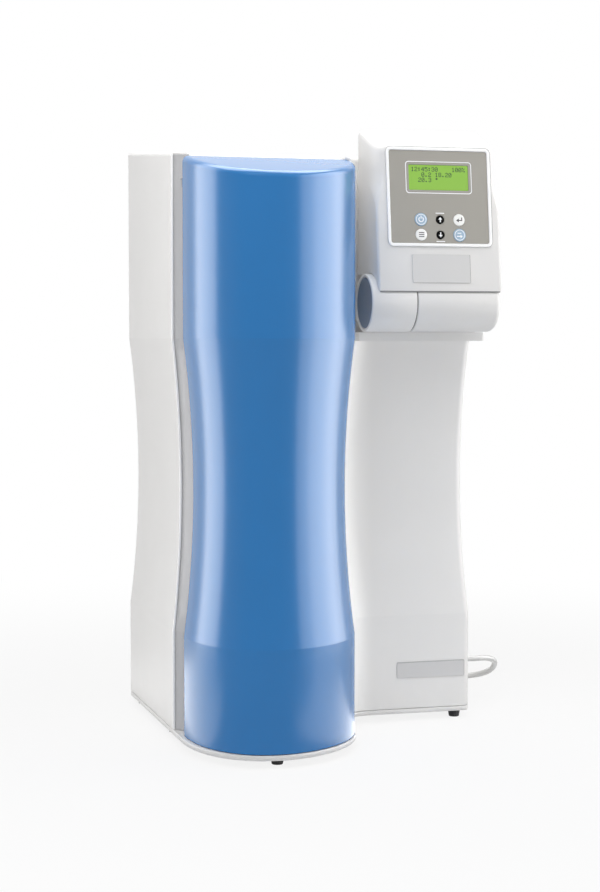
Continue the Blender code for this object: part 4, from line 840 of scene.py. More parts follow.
class WATERUNIT_OT_casing(bpy.types.Operator):
    """Makes the waisted walls, the top cover, the base tray and the feet"""
    bl_idname = "water_unit.casing"
    bl_label = "Casing"

    def execute(self, context):
        soft = context.scene.water_unit_sizes.edge_round
        path = drawn([(LEFT + CORNER_RADIUS + REAR_RETURN, REAR)] + rear_left(),
                     CORNER_WAIST, -CORNER_WAIST) + [(LEFT, SIDE_FRONT, 1, 1)]
        side = wall("casing_left_wall", path, casing_top, WALL, TOP_ROUND)
        dress(soften(side, 1.7 * soft, 4), "casing", "cabinet", "left_shell", creases=True)

        sweep, front, back = tower_plan()
        tray_outline = rear_left() + bulge(0.0) + sweep + front + back
        path = [(JAMB, DOOR_EDGE + 0.0008, -1, 0)] + drawn(sweep, -1, 1)
        path += drawn(front, RIGHT_WAIST, CORNER_WAIST)
        path += drawn(back + [(RIGHT - CORNER_RADIUS - REAR_RETURN, REAR)],
                      RIGHT_WAIST, -CORNER_WAIST)
        tower = wall("casing_tower", path, casing_top, WALL, TOP_ROUND)
        dress(soften(tower, soft), "tower", "cabinet", "tower_shell", creases=True)

        edge = TOP_ROUND + TOP_FLANGE + CLEAR
        start, stop = SIDE_FRONT - COVER_LEAD, DOOR_EDGE + 0.0004
        ahead = [(LEFT + COVER_NOTCH, start), (JAMB - edge, start)]
        sweep, front, back = tower_plan(edge)
        outline = rear_left(edge) + [(LEFT + edge, SIDE_FRONT + CLEAR),
                                     (LEFT + COVER_NOTCH, SIDE_FRONT + CLEAR)]
        cover = prism("casing_top_panel", outline + ahead + sweep + front + back,
                      below(casing_top, COVER_DEPTH), casing_top)
        dress(soften(cover, 0.6 * soft, 3), "casing", "cabinet", "top_cover")

        def lip_top(y):
            return casing_top(y) - LIP_DROP * (start - y) / (start - stop)

        outline = [ahead[0], (LEFT + COVER_NOTCH, stop), (JAMB - edge, stop), ahead[1]]
        lip = prism("casing_top_lip", outline, below(lip_top, COVER_DEPTH), lip_top)
        dress(soften(lip, 0.0004), "casing", "cabinet")

        tray = prism("base_pan", tray_outline, TRAY_LOW, TRAY_HIGH)
        dress(soften(tray, soft), "casing", "cabinet", "base_tray")
        low, high = FOOT_RADII
        profile = [(0, 0), (low - FOOT_ROUND, 0)] + round_foot(low, FOOT_ROUND)
        profile += [(high, FOOT_TOP), (0, FOOT_TOP)]
        for name, place in FEET.items():
            foot = turned("rubber_" + name, profile, (*place, 0), steps=40)
            dress(foot, "rubber", "cabinet", name)
        return {"FINISHED"}


class WATERUNIT_OT_bay(bpy.types.Operator):
    """Makes the cartridge bay: its walls, the cartridge, its cradle and its head"""
    bl_idname = "water_unit.bay"
    bl_label = "Cartridge bay"

    def execute(self, context):
        self.make_walls()
        self.make_cartridge(context.scene.water_unit_sizes.rib_count)
        self.make_cartridge_head()
        self.make_cradle()
        return {"FINISHED"}

    def make_walls(self):
        """The strip with grey painted shade and a glowing bead as a painted highlight beside the
        door, and the two inner walls.
        """
        shelf = below(casing_top, 0.0012)
        x = LEFT + 0.0023
        path = drawn([(x, SIDE_FRONT + 0.0012), (x, SIDE_FRONT - 0.0003)], 1, 1)
        # Casing strip beside the door, coloured grey as painted shade
        strip = wall("bay_edge_strip", path + [(LEFT + 0.0136, -0.0585, 1, 0.35)], shelf, 0.0022)
        dress(soften(strip, 0.0006, 3), "strip", "cabinet", creases=True)
        # A thin glowing white bead on the side panel's front edge: a painted highlight
        x, ahead = LEFT + 0.0001, SIDE_FRONT - 0.0009
        path = drawn([(x, SIDE_FRONT + 0.0016), (x, ahead), (LEFT + 0.0022, ahead)], 1, 1)
        highlight_strip = wall("side_front_bead", path, shelf, 0.0007)
        dress(soften(highlight_strip, 0.0003), "bezel", "cabinet", creases=True)
        near, far = SIDE_FRONT - 0.0005, SIDE_FRONT - 0.0175
        outline = [(LEFT + 0.0032, near), (LEFT + 0.0132, far), (LEFT + COVER_NOTCH, far),
                   (LEFT + COVER_NOTCH, near)]
        cap = prism("bay_strip_cap", outline, below(casing_top, 0.0034), below(casing_top, 0.0014))
        dress(soften(cap, 0.0003), "casing", "cabinet")

        inner = WALL + CLEAR
        left, right = LEFT + WALL + CLEAR, JAMB - WALL - CLEAR
        back = wall("bay_rear_wall", [(left, BAY_WALL, 1, 1), (right, BAY_WALL, -1, 1)],
                    inner_top, INNER_WALL)
        dress(back, "casing", "cabinet", "bay_back_wall", creases=True)
        x = LEFT + 0.018
        side = wall("bay_side_strip", [(x, BAY_WALL - CLEAR, 1, 1), (x, SIDE_FRONT - 0.034, 1, 0)],
                    inner_top, INNER_WALL)
        dress(side, "casing", "cabinet", "bay_side_wall", creases=True)

    def make_cartridge(self, rib_count):
        centre, radius, tall = self.foot_of("pretreatment_cartridge")
        shoulder, dome, neck, groove = tall - 0.014, 0.018, 0.016, 0.0008
        profile = [(0, 0), (radius - 0.002, 0), (radius, 0.002)]
        for z in (0.030, 0.040, shoulder - 0.062, shoulder - 0.052):
            profile += [(radius, z), (radius - groove, z + 0.0008), (radius - groove, z + 0.0032),
                        (radius, z + 0.004)]
        profile += arc((radius - dome, shoulder - dome), dome, 0.0, QUARTER)
        profile += [(neck, shoulder), (neck, tall), (0, tall)]
        body = turned("cartridge_body", profile, centre, steps=72)
        dress(body, "cartridge", "cabinet", "pretreatment_cartridge")
        inner, outer, low, high = radius - 0.0006, radius + 0.00015, 0.12, 0.30
        band = [(inner, low), (outer, low), (outer, high), (inner, high)]
        dress(turned("cartridge_bare_band", band, centre, steps=72), "plate", "cabinet")
        ribs = grown("cartridge_collar_ribs", [centre + Vector((0, 0, shoulder - 0.034))],
                     ribs_tree("cartridge"),
                     {"Ring Radius": inner, "Rib Count": rib_count, "Rib Proud": 0.0008})
        dress(ribs, None, "cabinet")

    def make_cartridge_head(self):
        low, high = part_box("cartridge_head")
        head = block("cartridge_manifold", low, high, 0.004, 4)
        dress(head, "grey", "cabinet", "cartridge_head")
        profile = [(0, 0), (0.0062, 0), (0.0062, 0.008), (0.0052, 0.009)]
        profile += round_edge(0.0052, 0.016, 0.002) + [(0, 0.016)]
        for i, shift in enumerate((-0.016, 0.016)):
            x, z = (low[0] + high[0]) / 2 + shift, high[2]
            elbow = turned(f"bay_elbow_{i + 1}", profile, (x, low[1] + 0.024, z - 0.0005),
                           steps=40)
            dress(elbow, "dark", "cabinet")
            pipe = turned(f"bay_pipe_{i + 1}", rod(0.0032, BAY_WALL - low[1] - 0.0285),
                          (x, low[1] + 0.0285, z + 0.0105), "Y", 32)
            dress(pipe, "tube", "cabinet")

    def make_cradle(self):
        centre, outer, _ = self.foot_of("cartridge_cradle")
        inner, groove, tall, floor = outer - 0.004, outer - 0.0008, 0.026, 0.004
        profile = [(0, 0), (outer - 0.001, 0), (outer, 0.001), (outer, 0.010), (groove, 0.011),
                   (groove, 0.0125), (outer, 0.0135)] + round_edge(outer, tall, 0.0015)
        profile += [(inner + 0.001, tall), (inner, 0.025), (inner, floor), (0, floor)]
        cradle = turned("cartridge_cup", profile, centre, steps=72)
        dress(cradle, "grey", "cabinet", "cartridge_cradle")

    def foot_of(self, node):
        """The middle of a node's foot, half its width and its height."""
        low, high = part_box(node)
        centre = Vector(((low[0] + high[0]) / 2, (low[1] + high[1]) / 2, low[2]))
        return centre, (high[0] - low[0]) / 2, high[2] - low[2]


def door_rings(inset, bottom, drop, edge_y, rounding, flange=0.0):
    """Rings of the door's body, inset from its outer side, past a flange at its hinged edge."""
    narrow = 1 - DOOR_LEFT_INSET / (BULGE_LEFT - DOOR_INSET)

    def ring(extra, height_of):
        plan = [(BULGE.x + (x - BULGE.x) * narrow if x < BULGE.x else x, y)
                for x, y in bulge(DOOR_INSET + inset + extra)]
        start = plan[0][0] + flange
        corner = [(start, edge_y), (start, BULGE.y)] if flange else [(start, edge_y)]
        return [(x, y, height_of(y)) for x, y in corner + plan + [(plan[-1][0], edge_y)]]

    rings = [ring(waist(z), lambda y, z=z: z) for z in wall_levels(bottom)]
    for turn in spread(0.0, QUARTER, 10):
        lower = drop + rounding * (1 - math.sin(turn))
        rings.append(ring(rounding * (1 - math.cos(turn)), below(door_top, lower)))
    return rings


class WATERUNIT_OT_door(bpy.types.Operator):
    """Makes the bulged door that swings on the left edge"""
    bl_idname = "water_unit.door"
    bl_label = "Door"

    def execute(self, context):
        sizes = context.scene.water_unit_sizes
        thin = sizes.door_wall
        door = stack("door_bulge", door_rings(0.0, DOOR_BOTTOM, 0.0, DOOR_EDGE, sizes.door_round))
        carve(door, stack("hollow", door_rings(
            thin, DOOR_BOTTOM - OVERRUN, thin, DOOR_EDGE + OVERRUN,
            sizes.door_round - thin / 2, DOOR_FLANGE)))
        for node in ("door_lug_bottom", "door_lug_top"):
            low, high = corners(node)
            carve(door, block("notch", low - Vector((CLEAR, 0, CLEAR)),
                              (high.x + CLEAR, DOOR_EDGE + OVERRUN, high.z + CLEAR)))
        dress(soften(door, sizes.edge_round / 2, angle=50.0), "door", "door", "door_shell",
              creases=True)
        return {"FINISHED"}


def face_y(z):
    return FACE_FOOT.y + (z - HEAD_BOTTOM) * math.tan(HEAD_LEAN)


def face_top(drop, behind):
    """Height where a plane behind the leaning face meets the sloping top, lowered by the drop."""
    rise = math.tan(HEAD_TOP_ANGLE)
    reach = HEAD_REAR - face_y(0) - behind
    return (HEAD_TOP - drop - reach * rise) / (1 - rise * math.tan(HEAD_LEAN))


def head_ring(z, inset, side, front, rear, height_of=None):
    """Plan of the head at a height: straight rear, front corners that soften towards the top."""
    share = min(max((z - SHOULDER_LOW) / (SHOULDER_HIGH - SHOULDER_LOW), 0.0), 1.0)
    share = share * share * (3 - 2 * share)
    across, along = (a + (b - a) * share - inset / 2 for a, b in zip(CORNER_LOW, CORNER_HIGH))
    left, right = HEAD_LEFT + inset + side, HEAD_RIGHT - inset - side
    face = face_y(z) + inset + front
    corner = [(across * (1 - math.cos(t)), face + along * (1 - math.sin(t)))
              for t in spread(0.0, QUARTER, 12)]
    ring = [(left, rear)] + [(left + x, y) for x, y in corner]
    ring += [(right - x, y) for x, y in reversed(corner)] + [(right, rear)]
    return [(x, y, height_of(y) if height_of else z) for x, y in ring]


def head_rings(inset, bottom, rear, foot_round=0.0):
    """Rings of the head from its foot, which may be rounded, over its sloping top."""
    rings = []
    for turn in spread(0.0, QUARTER, 3)[:-1] if foot_round else ():
        low = foot_round * (1 - math.sin(turn))
        rings.append(head_ring(bottom + foot_round * (1 - math.cos(turn)), inset + low,
                               0.0, 0.0, rear))
    for z in [bottom + foot_round] + spread(SHOULDER_LOW, SHOULDER_HIGH, 16):
        rings.append(head_ring(z, inset, 0.0, 0.0, rear))
    side_round = HEAD_SIDE_ROUND - inset / 2
    for turn in spread(0.0, QUARTER, 8):
        lower = inset + side_round * (1 - math.sin(turn))
        side, front = side_round * (1 - math.cos(turn)), HEAD_FRONT_ROUND * (1 - math.cos(turn))
        edge = face_top(lower, inset + front)
        rings.append(head_ring(edge, inset, side, front, rear, below(head_top, lower)))
    return rings


class WATERUNIT_OT_head(bpy.types.Operator):
    """Makes the tilting head's shell and its rear cover"""
    bl_idname = "water_unit.head"
    bl_label = "Display head"

    def execute(self, context):
        rear = HEAD_REAR - HEAD_BACK_THICKNESS - CLEAR
        shell = stack("head_cover", head_rings(0.0, HEAD_BOTTOM, rear,
                                               context.scene.water_unit_sizes.edge_round))
        floor = BARREL.z + BARREL_RADIUS + WALL + SEAM_GAP
        carve(shell, stack("hollow", head_rings(WALL, floor, rear + OVERRUN)))
        carve(shell, block("underside", (BARREL.x - OVERRUN, BARREL.y, HEAD_BOTTOM - OVERRUN),
                           (HEAD_RIGHT + OVERRUN, rear + OVERRUN, HEAD_REAR_BOTTOM)))
        seam = BARREL.x + KNUCKLE_LENGTH + SEAM_GAP / 2
        for start, stop, gap in ((BARREL.x - OVERRUN, seam, SEAM_GAP),
                                 (seam, HEAD_RIGHT + OVERRUN, CLEAR)):
            carve(shell, turned("room", rod(BARREL_RADIUS + gap, stop - start),
                                (start, BARREL.y, BARREL.z), "X", 96))
        window = rounded(*DISPLAY, 0.0015, more=0.0006)
        carve(shell, plate("window", [window], -0.008, 0.004, rise=DISPLAY_RISE + DISPLAY[1] / 2))
        for across, rise, radius, _ in KEYS.values():
            carve(shell, plate("hole", [circle(radius + CLEAR, 48)], -0.008, 0.004,
                               across=across, rise=rise))
        dress(shell, "casing", "display_head", "head_shell")
        # A dark strip under the face's foot: painted shadow in the gap over the barrel
        gap = BARREL_RADIUS + SEAM_GAP / 2
        reach = math.sqrt(gap ** 2 - (HEAD_BOTTOM - 0.0009 - BARREL.z) ** 2)
        shadow_line = block("head_seal",
                     (HEAD_LEFT + 0.0018, face_y(HEAD_BOTTOM) + 0.0003, HEAD_BOTTOM - 0.0010),
                     (HEAD_RIGHT - 0.0020, BARREL.y - reach, HEAD_BOTTOM + 0.0002))
        dress(shadow_line, "seam", "display_head")

        r, half = HEAD_SIDE_ROUND, HEAD_BACK_THICKNESS / 2
        top = head_top(HEAD_REAR - HEAD_BACK_THICKNESS)
        outline = [(HEAD_RIGHT, HEAD_REAR_BOTTOM)]
        outline += arc((HEAD_RIGHT - r, top - r), r, 0, QUARTER)
        outline += arc((HEAD_LEFT + r, top - r), r, QUARTER, math.pi)
        outline += [(HEAD_LEFT, HEAD_REAR_BOTTOM)]
        flat("head_rear_cover", "casing", "display_head", [outline], -half, half,
             "head_back_cover", edge=0.0006, place=upright((0, HEAD_REAR - half, 0)))
        return {"FINISHED"}


class WATERUNIT_OT_hinge_barrel(bpy.types.Operator):
    """Makes the ledge on the tower, the fixed and the moving barrel and the end disc"""
    bl_idname = "water_unit.hinge_barrel"
    bl_label = "Hinge barrel"

    def execute(self, context):
        edge, r, length = context.scene.water_unit_sizes.barrel_edge, BARREL_RADIUS, KNUCKLE_LENGTH
        inwards, left, corner = min(waist(LEDGE_LOW), waist(BRACKET_TOP)), BARREL.x, LEDGE_CORNER
        back = TOWER_FRONT + inwards - CLEAR
        sweep = (JAMB + SWEEP_RADIUS - inwards, TOWER_FRONT - SWEEP_RADIUS + inwards)
        reach = SWEEP_RADIUS - CLEAR
        plan = [(left, LEDGE_FRONT)]
        plan += arc((RIGHT - corner, LEDGE_FRONT + corner), corner, -QUARTER, 0.0, 6)
        plan += [(RIGHT, back)]
        plan += arc(sweep, reach, QUARTER, math.acos((left - sweep[0]) / reach), 16)
        ledge = prism("hinge_ledge", plan, LEDGE_LOW, LEDGE_HIGH)
        carve(ledge, block("back_plate",
                           (sweep[0], back - BRACKET_PLATE, (LEDGE_LOW + LEDGE_HIGH) / 2),
                           (RIGHT, back, BRACKET_TOP)), "UNION")
        dress(soften(ledge, 0.0012, 3), "casing", "cabinet", "head_bracket")

        lip, floor = END_CAP_RADIUS + CLEAR, 0.003
        profile = [(SHAFT_BORE, floor), (lip, floor), (lip, 0.0006), (lip + 0.0006, 0)]
        profile += round_foot(r, edge) + round_edge(r, length, edge, 4) + [(SHAFT_BORE, length)]
        knuckle = turned("barrel_fixed", profile, BARREL, "X", 96, closed=True)
        neck_front = BARREL.y + (r + SHAFT_BORE) / 2
        carve(knuckle, block("neck", (left + WALL, neck_front, NECK_LOW),
                             (left + length - WALL, back - BRACKET_PLATE - CLEAR, NECK_HIGH)),
              "UNION")
        dress(knuckle, "casing", "cabinet", "fixed_knuckle")

        rim = END_CAP_RADIUS
        profile = [(0, 0.002), (rim, 0.002), (rim, 0.0008), (rim - 0.0006, 0.0002),
                   (rim - 0.0025, 0), (rim - 0.0045, 0.0005), (0, 0.0003)]
        disc = turned("barrel_end_disc", profile, BARREL + Vector((0.0007, 0, 0)), "X", 96)
        dress(disc, "end_disc", "cabinet", "knuckle_end_cap")

        start = length + SEAM_GAP + BARREL_START
        low, high, inner, outer = length + 0.0001, start - 0.0001, r - 0.0045, r - 0.0012
        ring = [(inner, low), (outer, low), (outer, high), (inner, high)]
        dress(turned("barrel_seam", ring, BARREL, "X", 96, closed=True), "seam", "cabinet")
        span = HEAD_RIGHT - 0.0004 - BARREL.x - start
        inner, web = r - BARREL_WALL, span - BARREL_WALL
        profile = [(BARREL_BORE, 0)] + round_foot(r, edge)
        profile += round_edge(r, span, BARREL_FILLET, 8)
        profile += [(0, span), (0, web), (inner, web), (inner, BARREL_WALL),
                    (BARREL_BORE, BARREL_WALL)]
        barrel = turned("barrel_moving", profile, BARREL + Vector((start, 0, 0)), "X", 96,
                        closed=True)
        dress(barrel, "casing", "display_head", "head_barrel")
        return {"FINISHED"}


class WATERUNIT_OT_keypad(bpy.types.Operator):
    """Makes the keypad: bezel, membrane, lit display and the bare plate under it"""
    bl_idname = "water_unit.keypad"
    bl_label = "Keypad and display"

    def execute(self, context):
        middle = PANEL_RISE + PANEL[1] / 2
        window_rise = DISPLAY_RISE + DISPLAY[1] / 2 + WINDOW_RISE
        inner = rounded(*PANEL, 0.002 + CLEAR, more=2 * CLEAR)
        # A grey copy of the bezel's outline, shifted up and right: a painted shadow line along its
        # top and right
        self.part("keypad_frame_seam", "line", [rounded(*PANEL, 0.0058, more=0.0078), inner],
                  SHADOW_LINE_FOOT, CLEAR + 0.0004, across=SHADOW_LINE_SHIFT, rise=middle + SHADOW_LINE_SHIFT)
        self.part("keypad_frame", "bezel", [rounded(*PANEL, 0.0054, more=0.0068), inner],
                  CLEAR, CLEAR + 0.0018, "keypad_bezel", edge=0.0007, rise=middle)
        outlines = [rounded(*PANEL, 0.002)]
        outlines += [[(x, y + (window_rise - middle)) for x, y in rounded(*WINDOW, 0.0012)]]
        outlines += [circle(radius + CLEAR, 40, (across, rise - middle))
                     for across, rise, radius, _ in KEYS.values()]
        self.part("keypad_membrane", "membrane", outlines, CLEAR, PANEL_TOP, "keypad_panel",
                  edge=0.00015, rise=middle)

        outlines = [rounded(*WINDOW, 0.0034, more=0.0068), rounded(*WINDOW, 0.0027, more=0.0052)]
        self.part("display_outline", "white_ink", outlines, PANEL_TOP - 0.0001,
                  PANEL_TOP + 0.00018, rise=window_rise)
        glass = PANEL_TOP - 0.0004
        self.part("display_window", "display", [rounded(*WINDOW, 0.0011, more=-CLEAR)], -0.003,
                  glass, "display_module", edge=0.0002, rise=window_rise)
        self.make_dots(context.scene.water_unit_sizes.dot_pitch, window_rise, glass)
        for label, rise in (("up", KEY_HIGH_ROW + KEY_LINE_OFF),
                            ("down", KEY_LOW_ROW - KEY_LINE_OFF)):
            self.part("key_line_" + label, "white_ink", [rounded(*KEY_LINE, 0.0004, 3)],
                      PANEL_TOP - 0.0001, PANEL_TOP + 0.00012, rise=rise)

        outline, rise = [rounded(*HEAD_PLATE, 0.001)], HEAD_PLATE_RISE + HEAD_PLATE[1] / 2
        # A dark copy shifted up and right: a painted shadow line along the plate's top and right
        self.part("head_plate_seam", "seam", outline, SHADOW_LINE_FOOT, CLEAR + 0.0002,
                  across=SHADOW_LINE_SHIFT, rise=rise)
        self.part("head_bare_plate", "head_plate", outline, CLEAR, CLEAR + 0.0008, "head_plate",
                  edge=0.00015, rise=rise)
        return {"FINISHED"}

    def part(self, name, look, outlines, low, high, *replaced, **where):
        flat(name, look, "display_head", outlines, low, high, *replaced, **where)

    def make_dots(self, pitch, rise, out):
        """Numbers and signs of the display, from dots."""
        tall = 1.04 * pitch
        cell_x, cell_y = 6 * pitch, 8.6 * tall
        left, top = -DISPLAY_COLUMNS * cell_x / 2 + pitch / 2, 2 * cell_y - tall
        places = []
        for row, column, text in DISPLAY_TEXT:
            for i, letter in enumerate(text):
                for y, line in enumerate(LETTERS[letter]):
                    places += [(left + (column + i) * cell_x + x * pitch,
                                top - row * cell_y - y * tall, 0.0)
                               for x in range(5) if line >> (4 - x) & 1]
        dots = grown("display_dots", places, dots_tree("display_ink"),
                     {"Dot Width": 1.1 * pitch, "Dot Height": 1.04 * tall,
                      "Dot Thickness": 0.00012})
        dots.data.transform(FACE @ Matrix.Translation((0, rise, out)))
        dress(dots, None, "display_head")


class WATERUNIT_OT_keys(bpy.types.Operator):
    """Makes the six keys with their symbols"""
    bl_idname = "water_unit.keys"
    bl_label = "Keys"

    def execute(self, context):
        dome = context.scene.water_unit_sizes.key_dome
        symbols = self.symbols()
        for name, (across, rise, radius, look) in KEYS.items():
            profile = [(0, 0), (radius, 0)] + round_edge(radius, KEY_LENGTH - dome, 0.0003, 4)
            profile += [(radius * share, KEY_LENGTH - dome * share * share)
                        for share in (0.8, 0.6, 0.4, 0.2)] + [(0, KEY_LENGTH)]
            place = FACE @ Matrix.Translation((across, rise, KEY_TOP - KEY_LENGTH))
            parts = [(turned("cap", profile, None, steps=56, place=place), look)]
            for outlines in symbols[name]:
                outlines = [[(x * radius, y * radius) for x, y in line] for line in outlines]
                sign = plate("sign", outlines, KEY_TOP - 0.0004, KEY_TOP + 0.00012,
                             across=across, rise=rise)
                parts.append((sign, "ink" if look == "key_white" else "white_ink"))
            dress(merged("button_" + name[4:], parts), None, name, name)
        return {"FINISHED"}

    def symbols(self):
        """Outlines of each key's symbol, in shares of the key's radius."""
        def bar(x, y, width, height):
            w, h = width / 2, height / 2
            return [[(x - w, y - h), (x + w, y - h), (x + w, y + h), (x - w, y + h)]]

        gap, nought = math.radians(38), (0, 0)
        ring = [circle(0.84, 40), circle(0.74, 40)]
        turns = QUARTER + gap, QUARTER + FULL - gap, 30
        open_ring = [arc(nought, 0.44, *turns) + arc(nought, 0.29, *turns)[::-1]]
        arrow = [(-0.13, -0.62), (0.13, -0.62), (0.13, 0.02), (0.48, 0.02), (0, 0.62),
                 (-0.48, 0.02), (-0.13, 0.02)]
        onward = [(-0.45, -0.28), (0.12, -0.28), (0.12, -0.48), (0.5, -0.2), (0.12, 0.08),
                  (0.12, -0.12), (-0.45, -0.12)]
        back = [(0.52, 0.42), (0.36, 0.42), (0.36, 0.00), (-0.10, 0.00), (-0.10, 0.24),
                (-0.56, -0.08), (-0.10, -0.40), (-0.10, -0.16), (0.52, -0.16)]
        return {
            "key_power": [ring, open_ring, bar(0, 0.34, 0.15, 0.46)],
            "key_flush": [ring, bar(-0.05, 0.28, 0.62, 0.13), [onward]],
            "key_up": [[arrow]], "key_down": [[[(x, -y) for x, y in arrow[::-1]]]],
            "key_menu": [bar(0, y, 0.95, 0.14) for y in (0.34, 0.0, -0.34)],
            "key_enter": [[back]],
        }


class WATERUNIT_OT_plates(bpy.types.Operator):
    """Makes the bare name plate low on the tower"""
    bl_idname = "water_unit.plates"
    bl_label = "Name plate"

    def execute(self, context):
        low, high = corners("name_plate")
        size = high - low
        place = upright(((low.x + high.x) / 2, high.y, (low.z + high.z) / 2))
        flat("tower_bare_plate", "plate", "cabinet", [rounded(size.x, size.z, 0.0008)], 0.0,
             size.y, "name_plate", edge=0.0002, place=place)
        # A grey copy shifted up and right behind the plate: a painted shadow line along its top and
        # right
        flat("tower_plate_line", "line", "cabinet", [rounded(size.x, size.z, 0.001, more=0.0006)],
             0.0, size.y - 0.0004, across=0.0003, rise=0.0005, place=place)
        return {"FINISHED"}


class WATERUNIT_OT_rear(bpy.types.Operator):
    """Makes the rear vent, screws, water ports and the mains inlet's pins and marks"""
    bl_idname = "water_unit.rear"
    bl_label = "Rear fittings"

    def execute(self, context):
        sizes = context.scene.water_unit_sizes
        face = REAR_PANEL + 0.0006
        screws = grown("rear_screws", [(x, face, z) for x, z in SCREW_PLACES],
                       screws_tree("steel"), {"Head Radius": sizes.screw_radius})
        dress(screws, None, "cabinet")
        low, high = corners("rear_panel")
        sill = block("rear_top_sill", (low.x + 0.001, low.y + 0.0002, high.z - 0.0006),
                     (high.x - 0.001, high.y - 0.0002, casing_top(high.y) - COVER_DEPTH - 0.0001),
                     0.0002)
        dress(sill, "casing", "cabinet")
        half = VENT_WIDTH / 2
        backing = block("rear_vent_shadow", (VENT_X - half, REAR_PANEL - 0.0005, VENT_TOP - 0.069),
                        (VENT_X + half, face, 0.5265))
        dress(backing, "dark", "cabinet")
        slats = grown("rear_vent_slats", [(VENT_X, face, VENT_TOP)], slats_tree("casing"),
                      {"Slat Width": VENT_WIDTH, "Slat Count": sizes.louvre_count,
                       "Slat Pitch": sizes.louvre_pitch})
        dress(slats, None, "cabinet")
        for node in ("feed_port", "permeate_port", "drain_port"):
            self.make_port(node)
        self.make_inlet_parts()
        return {"FINISHED"}

    def make_port(self, node):
        low, high = corners(node)
        at = Vector(((low.x + high.x) / 2, low.y, (low.z + high.z) / 2))
        span = high.y - low.y
        profile = [(0, 0), (0.008, 0), (0.008, 0.0038), (0.0068, 0.005), (0.0042, 0.005)]
        for z in (0.0075, 0.0105, 0.0135):
            profile += [(0.0034, z), (0.0042, z + 0.0006), (0.0036, z + 0.0028)]
        profile += [(0.0034, span), (0.0022, span), (0.0022, span - 0.006), (0, span - 0.006)]
        dress(turned("rear_" + node, profile, at, "Y", 40), "grey", "cabinet", node)
        nut = plate("nut_" + node, [circle(0.0086, 6), circle(0.0050, 24)], 0.0002, 0.0042, 0.0003,
                    place=Matrix.Translation(at) @ AXIS_TURN["Y"])
        dress(nut, "tube", "cabinet")

    def make_inlet_parts(self):
        low, high = corners("mains_inlet")
        x = (low.x + high.x) / 2
        for i, (dx, dz) in enumerate(INLET_PINS):
            pin = block(f"inlet_pin_{i + 1}",
                        (x + dx - 0.001, high.y - 0.0138, SOCKET_Z + dz - 0.002),
                        (x + dx + 0.001, high.y - 0.002, SOCKET_Z + dz + 0.002), 0.0003)
            dress(pin, "brass", "cabinet")
        low, high = corners("power_switch")
        middle = (low + high) / 2
        place = upright((middle.x, high.y, middle.z), Matrix.Rotation(math.pi, 4, "Z"))
        signs = {"on": ([rounded(0.0007, 0.0030, 0.0003, 3)], 0.0038),
                 "off": ([rounded(0.0026, 0.0030, 0.0012), rounded(0.0014, 0.0018, 0.0006)],
                         -0.0038)}
        for label, (outlines, rise) in signs.items():
            flat("switch_mark_" + label, "white_ink", "power_switch", outlines, -0.0003, 0.00005,
                 rise=rise, place=place)


def smooth_route(points, count):
    """Evenly spaced points on a smooth curve through the given ones."""
    points = [Vector(p) for p in points]
    knots = [2 * points[0] - points[1]] + points + [2 * points[-1] - points[-2]]
    fine = []
    for i in range(1, len(knots) - 2):
        a, b, c, d = knots[i - 1:i + 3]
        for t in spread(0.0, 1.0, 16)[:-1]:
            fine.append(0.5 * (2 * b + (c - a) * t + (2 * a - 5 * b + 4 * c - d) * t * t
                               + (3 * b - 3 * c + d - a) * t * t * t))
    fine.append(points[-1])
    total = [0.0]
    for p, q in zip(fine, fine[1:]):
        total.append(total[-1] + (q - p).length)
    even, j = [], 0
    for want in spread(0.0, total[-1], count - 1):
        while j < len(fine) - 2 and total[j + 1] < want:
            j += 1
        even.append(fine[j].lerp(fine[j + 1], (want - total[j]) / (total[j + 1] - total[j])))
    return even, total[-1]


class WATERUNIT_OT_hose(bpy.types.Operator):
    """Makes the link hose at the right side and its two ports"""
    bl_idname = "water_unit.hose"
    bl_label = "Link hose"

    def execute(self, context):
        points, span = smooth_route(HOSE_ROUTE, 34)
        curve = bpy.data.curves.new("hose_loop", "CURVE")
        curve.dimensions = "3D"
        curve.bevel_depth = HOSE_RADIUS
        curve.bevel_resolution = 6
        curve.use_fill_caps = True
        spline = curve.splines.new("POLY")
        spline.points.add(len(points) - 1)
        for point, place in zip(spline.points, points):
            point.co = (*place, 1)
        hose = bare("hose_loop", curve)
        curve.materials.append(finish("hose"))
        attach(hose, "cabinet")
        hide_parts("link_hose")

        profile = [(0, 0), (0.007, 0), (0.007, 0.001), (0.0064, 0.0016), (0.0064, 0.003)]
        for start in (0.003, 0.006, 0.009):
            profile += [(0.007, start + 0.0006), (0.007, start + 0.002), (0.0066, start + 0.0026)]
        profile += [(0.007, 0.0125), (0.007, 0.0142), (0.0062, 0.015), (0.005, 0.015)]
        profile += round_edge(0.005, 0.020, 0.0008, 4) + [(0.0034, 0.020), (0, 0.0195)]
        for node, place in HOSE_PORTS.items():
            port = turned("side_" + node, profile, Vector((RIGHT + CLEAR, *place)), "X", 48)
            dress(port, "grey", "cabinet", node)
        return {"FINISHED"}


class WATERUNIT_OT_inside(bpy.types.Operator):
    """Gives the carried-over pieces of the model their finishes"""
    bl_idname = "water_unit.inside"
    bl_label = "Inner pieces"

    def execute(self, context):
        for look, nodes in CARRIED_OVER.items():
            for obj in (bpy.data.objects[node] for node in nodes):
                if not obj.material_slots:
                    obj.data.materials.append(finish(look))
                for slot in obj.material_slots:
                    slot.material = finish(look)
        return {"FINISHED"}


